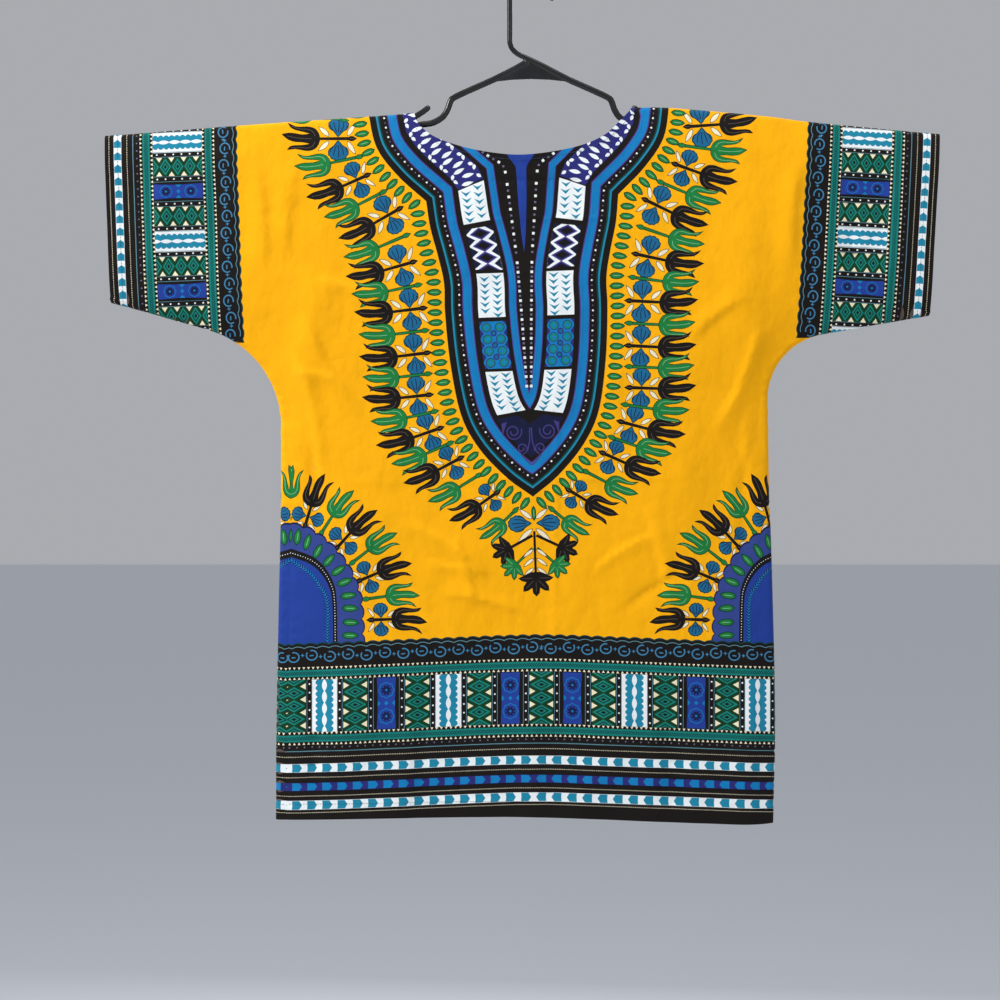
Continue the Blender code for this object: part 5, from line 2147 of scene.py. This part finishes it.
class StitchRun:
    """Machine stitches along a line, made by Geometry Nodes."""

    def __init__(self) -> None:
        """Builds the node tree once, for every run."""
        tree = bpy.data.node_groups.new("machine stitches", "GeometryNodeTree")
        self.tree = tree
        tree.interface.new_socket("Geometry", in_out="INPUT", socket_type="NodeSocketGeometry")
        for name in ("Pitch", "Stitch Length", "Thread Radius"):
            tree.interface.new_socket(name, in_out="INPUT", socket_type="NodeSocketFloat")
        tree.interface.new_socket("Thread", in_out="INPUT", socket_type="NodeSocketMaterial")
        tree.interface.new_socket("Geometry", in_out="OUTPUT", socket_type="NodeSocketGeometry")
        given = tree.nodes.new("NodeGroupInput").outputs
        radius = given["Thread Radius"]
        inputs = {"Curve": given["Geometry"], "Length": given["Pitch"]}
        spots = add_node(tree, "GeometryNodeCurveToPoints", inputs, mode="LENGTH").outputs
        drop = add_node(tree, "GeometryNodeMeshUVSphere", {"Segments": 6, "Rings": 4, "Radius": 1.0})
        half = add_node(tree, "ShaderNodeMath", {0: given["Stitch Length"], 1: 0.5}, operation="MULTIPLY")
        size = add_node(tree, "ShaderNodeCombineXYZ", {"X": radius, "Y": radius, "Z": half.outputs[0]})
        inputs = {"Geometry": drop.outputs["Mesh"], "Scale": size.outputs[0]}
        shaped = add_node(tree, "GeometryNodeTransform", inputs).outputs["Geometry"]
        inputs = {"Points": spots["Points"], "Instance": shaped, "Rotation": spots["Rotation"]}
        made = add_node(tree, "GeometryNodeInstanceOnPoints", inputs).outputs["Instances"]
        for kind in ("GeometryNodeSetShadeSmooth", "GeometryNodeRealizeInstances"):
            made = add_node(tree, kind, {"Geometry": made}).outputs["Geometry"]
        inputs = {"Geometry": made, "Material": given["Thread"]}
        made = add_node(tree, "GeometryNodeSetMaterial", inputs).outputs["Geometry"]
        add_node(tree, "NodeGroupOutput", {"Geometry": made})

    def sew(
        self, name: str, lines: list[Points], pitch: float, length: float, thread: bpy.types.Material
    ) -> bpy.types.Object:
        """Sews along lines.

        Args:
            name: The piece's name.
            lines: The lines, in the shirt's own frame.
            pitch: From one stitch to the next.
            length: One stitch's length.
            thread: The thread's material.

        Returns:
            The stitches as one plain mesh, at the origin.
        """
        curve = bpy.data.curves.new(name, "CURVE")
        curve.dimensions = "3D"
        for line in lines:
            spline = curve.splines.new("POLY")
            spline.points.add(len(line) - 1)
            for point, spot in zip(spline.points, line.tolist()):
                point.co = (*spot, 1)
        guide = shown(name + "_guide", curve)
        made = guide.modifiers.new("stitches", "NODES")
        made.node_group = self.tree
        values = {"Pitch": pitch, "Stitch Length": length, "Thread Radius": 0.00021, "Thread": thread}
        for item in self.tree.interface.items_tree:
            if item.in_out == "INPUT" and item.name in values:
                made[item.identifier] = values[item.name]
        mesh = settled(guide)
        bpy.data.objects.remove(guide)
        mesh.name = name
        return shown(name, mesh)


@dataclass(frozen=True)
class Stitching:
    """All the stitch runs of one panel."""

    panel: ClothPanel
    run: StitchRun

    def _lifted(self, line: Points, inwards: float, ends: float) -> Points:
        """A line on the outer face, this far in from an open edge.

        Args:
            line: The edge, on the flat cloth.
            inwards: How far in.
            ends: How much is left off at each end.

        Returns:
            The points on the cloth.
        """
        moved = line - side_ways(line) * inwards
        whole = lengths_along(moved)[-1]
        places = read_line(moved, np.arange(ends, whole - ends, 0.0025))
        points, facing = self.panel.form.surface(places, self.panel.side, self.panel.outer_offset)
        return points + facing * 0.00006

    def build(self, threads: dict[str, bpy.types.Material]) -> list[bpy.types.Object]:
        """Sews the hem, the cuffs and the neck."""
        panel, name = self.panel, self.panel.side.value
        hem = self._lifted(panel.hem, panel.hem_width - 0.0012, 0.003)
        left = self._lifted(panel.left_cuff, panel.cuff_width - 0.0012, 0.001)
        right = self._lifted(panel.right_cuff, panel.cuff_width - 0.0012, 0.001)
        neck = self._lifted(panel.neck, panel.neck_width - 0.0014, 0.001)
        return [
            self.run.sew(f"{name}_hem_stitches", [hem], 0.0031, 0.0025, threads["black"]),
            self.run.sew(f"{name}_cuff_stitches", [left, right], 0.0031, 0.0025, threads["black"]),
            self.run.sew(f"{name}_neck_stitches", [neck], 0.0028, 0.0022, threads["blue"]),
        ]


def thread_material(name: str, hue: str) -> bpy.types.Material:
    """Polyester sewing thread: its colour, a soft gloss and the twist of its plies."""
    made = bpy.data.materials.new(name)
    made.use_nodes = True
    tree = made.node_tree
    shader = tree.nodes["Principled BSDF"]
    shader.inputs["Base Color"].default_value = linear(hue)
    shader.inputs["Sheen Weight"].default_value = 0.2
    place = tree.nodes.new("ShaderNodeTexCoord").outputs["Object"]
    wave = add_node(tree, "ShaderNodeTexWave", {"Scale": 900, "Vector": place}, bands_direction="DIAGONAL")
    twist = wave.outputs["Fac"]
    bump = add_node(tree, "ShaderNodeBump", {"Distance": 0.00004, "Height": twist})
    rough = add_node(tree, "ShaderNodeMapRange", {"To Min": 0.45, "To Max": 0.65, "Value": twist})
    tree.links.new(bump.outputs["Normal"], shader.inputs["Normal"])
    tree.links.new(rough.outputs["Result"], shader.inputs["Roughness"])
    return made


# ---------------------------------------------------------------- the studio


@dataclass(frozen=True)
class Studio:
    """A plain pale floor, soft light and a camera straight in front."""

    floor_height: float = -1.9
    floor_half: float = 40.0
    distance: float = 2.2
    lens: float = 73.4
    target: tuple[float, float] = (-0.0335, -0.566)
    pale: str = "e6e9ef"

    def build(self) -> None:
        """Sets the stage."""
        self._floor()
        self._world()
        self._lamp("key", (-2.6, -1.35, 1.3), 0.7, 92)
        self._lamp("fill", (1.9, -2.5, -0.2), 2.4, 13)
        self._lamp("top", (0.1, -0.5, 1.6), 1.0, 15)
        self._lamp("behind", (0.3, 2.8, 0.3), 2.6, 45)
        self._camera()
        bpy.context.scene.view_settings.view_transform = "Standard"

    def _floor(self) -> None:
        """A wide pale floor below the shirt."""
        half, z = self.floor_half, self.floor_height
        mesh = bpy.data.meshes.new("floor")
        corners = [(-half, -half, z), (half, -half, z), (half, half, z), (-half, half, z)]
        mesh.from_pydata(corners, [], [(0, 1, 2, 3)])
        material = bpy.data.materials.new("pale floor")
        material.use_nodes = True
        shader = material.node_tree.nodes["Principled BSDF"]
        shader.inputs["Base Color"].default_value = linear(self.pale)
        shader.inputs["Roughness"].default_value = 0.9
        mesh.materials.append(material)
        floor = bpy.data.objects.new("floor", mesh)
        bpy.context.collection.objects.link(floor)

    def _world(self) -> None:
        """An even pale surround."""
        world = bpy.data.worlds.new("studio")
        world.use_nodes = True
        surround = world.node_tree.nodes["Background"]
        surround.inputs["Color"].default_value = linear(self.pale)
        surround.inputs["Strength"].default_value = 0.5
        bpy.context.scene.world = world

    def _lamp(self, name: str, place: tuple[float, float, float], size: float, watts: float) -> None:
        """One large soft light, aimed at the shirt's middle."""
        lamp = bpy.data.lights.new(name, "AREA")
        lamp.size = size
        lamp.energy = watts
        made = bpy.data.objects.new(name, lamp)
        made.location = place
        aim = Vector((0.0, 0.0, -0.5)) - Vector(place)
        made.rotation_euler = aim.to_track_quat("-Z", "Y").to_euler()
        bpy.context.collection.objects.link(made)

    def _camera(self) -> None:
        """A camera level with the shirt's middle."""
        camera = bpy.data.cameras.new("camera")
        camera.lens = self.lens
        made = bpy.data.objects.new("camera", camera)
        made.location = (self.target[0], -self.distance, self.target[1])
        made.rotation_euler = (math.pi / 2, 0, 0)
        bpy.context.collection.objects.link(made)
        bpy.context.scene.camera = made


# ---------------------------------------------------------------- putting it together


def report(piece: bpy.types.Object) -> None:
    """Logs one finished piece."""
    LOG.info("%s: %d faces", piece.name, len(piece.data.polygons))


def main() -> None:
    """Builds the shirt, its hanger and the studio."""
    logging.basicConfig(level=logging.INFO, format="%(name)s: %(message)s", force=True)
    weave = Weave()
    dyes = {ink: weave.dyed(ink) for ink in Ink}
    threads = {
        "black": thread_material("black thread", "201c1b"), "blue": thread_material("blue thread", "26406e")
    }
    hanger = Hanger().build(Plastic().material())
    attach(hanger, BODY)
    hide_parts("hanger_hook", "hanger_web", "hanger_arm_left", "hanger_arm_right", "hanger_bar")
    report(hanger)
    form = ClothForm()
    run = StitchRun()
    for side in Side:
        panel = ClothPanel(form, side)
        piece = panel.build(dyes)
        stitches = Stitching(panel, run).build(threads)
        for item in [piece, *stitches]:
            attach(item, BODY)
            report(item)
        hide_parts(side.value)
    Studio().build()


if __name__ == "__main__":
    main()
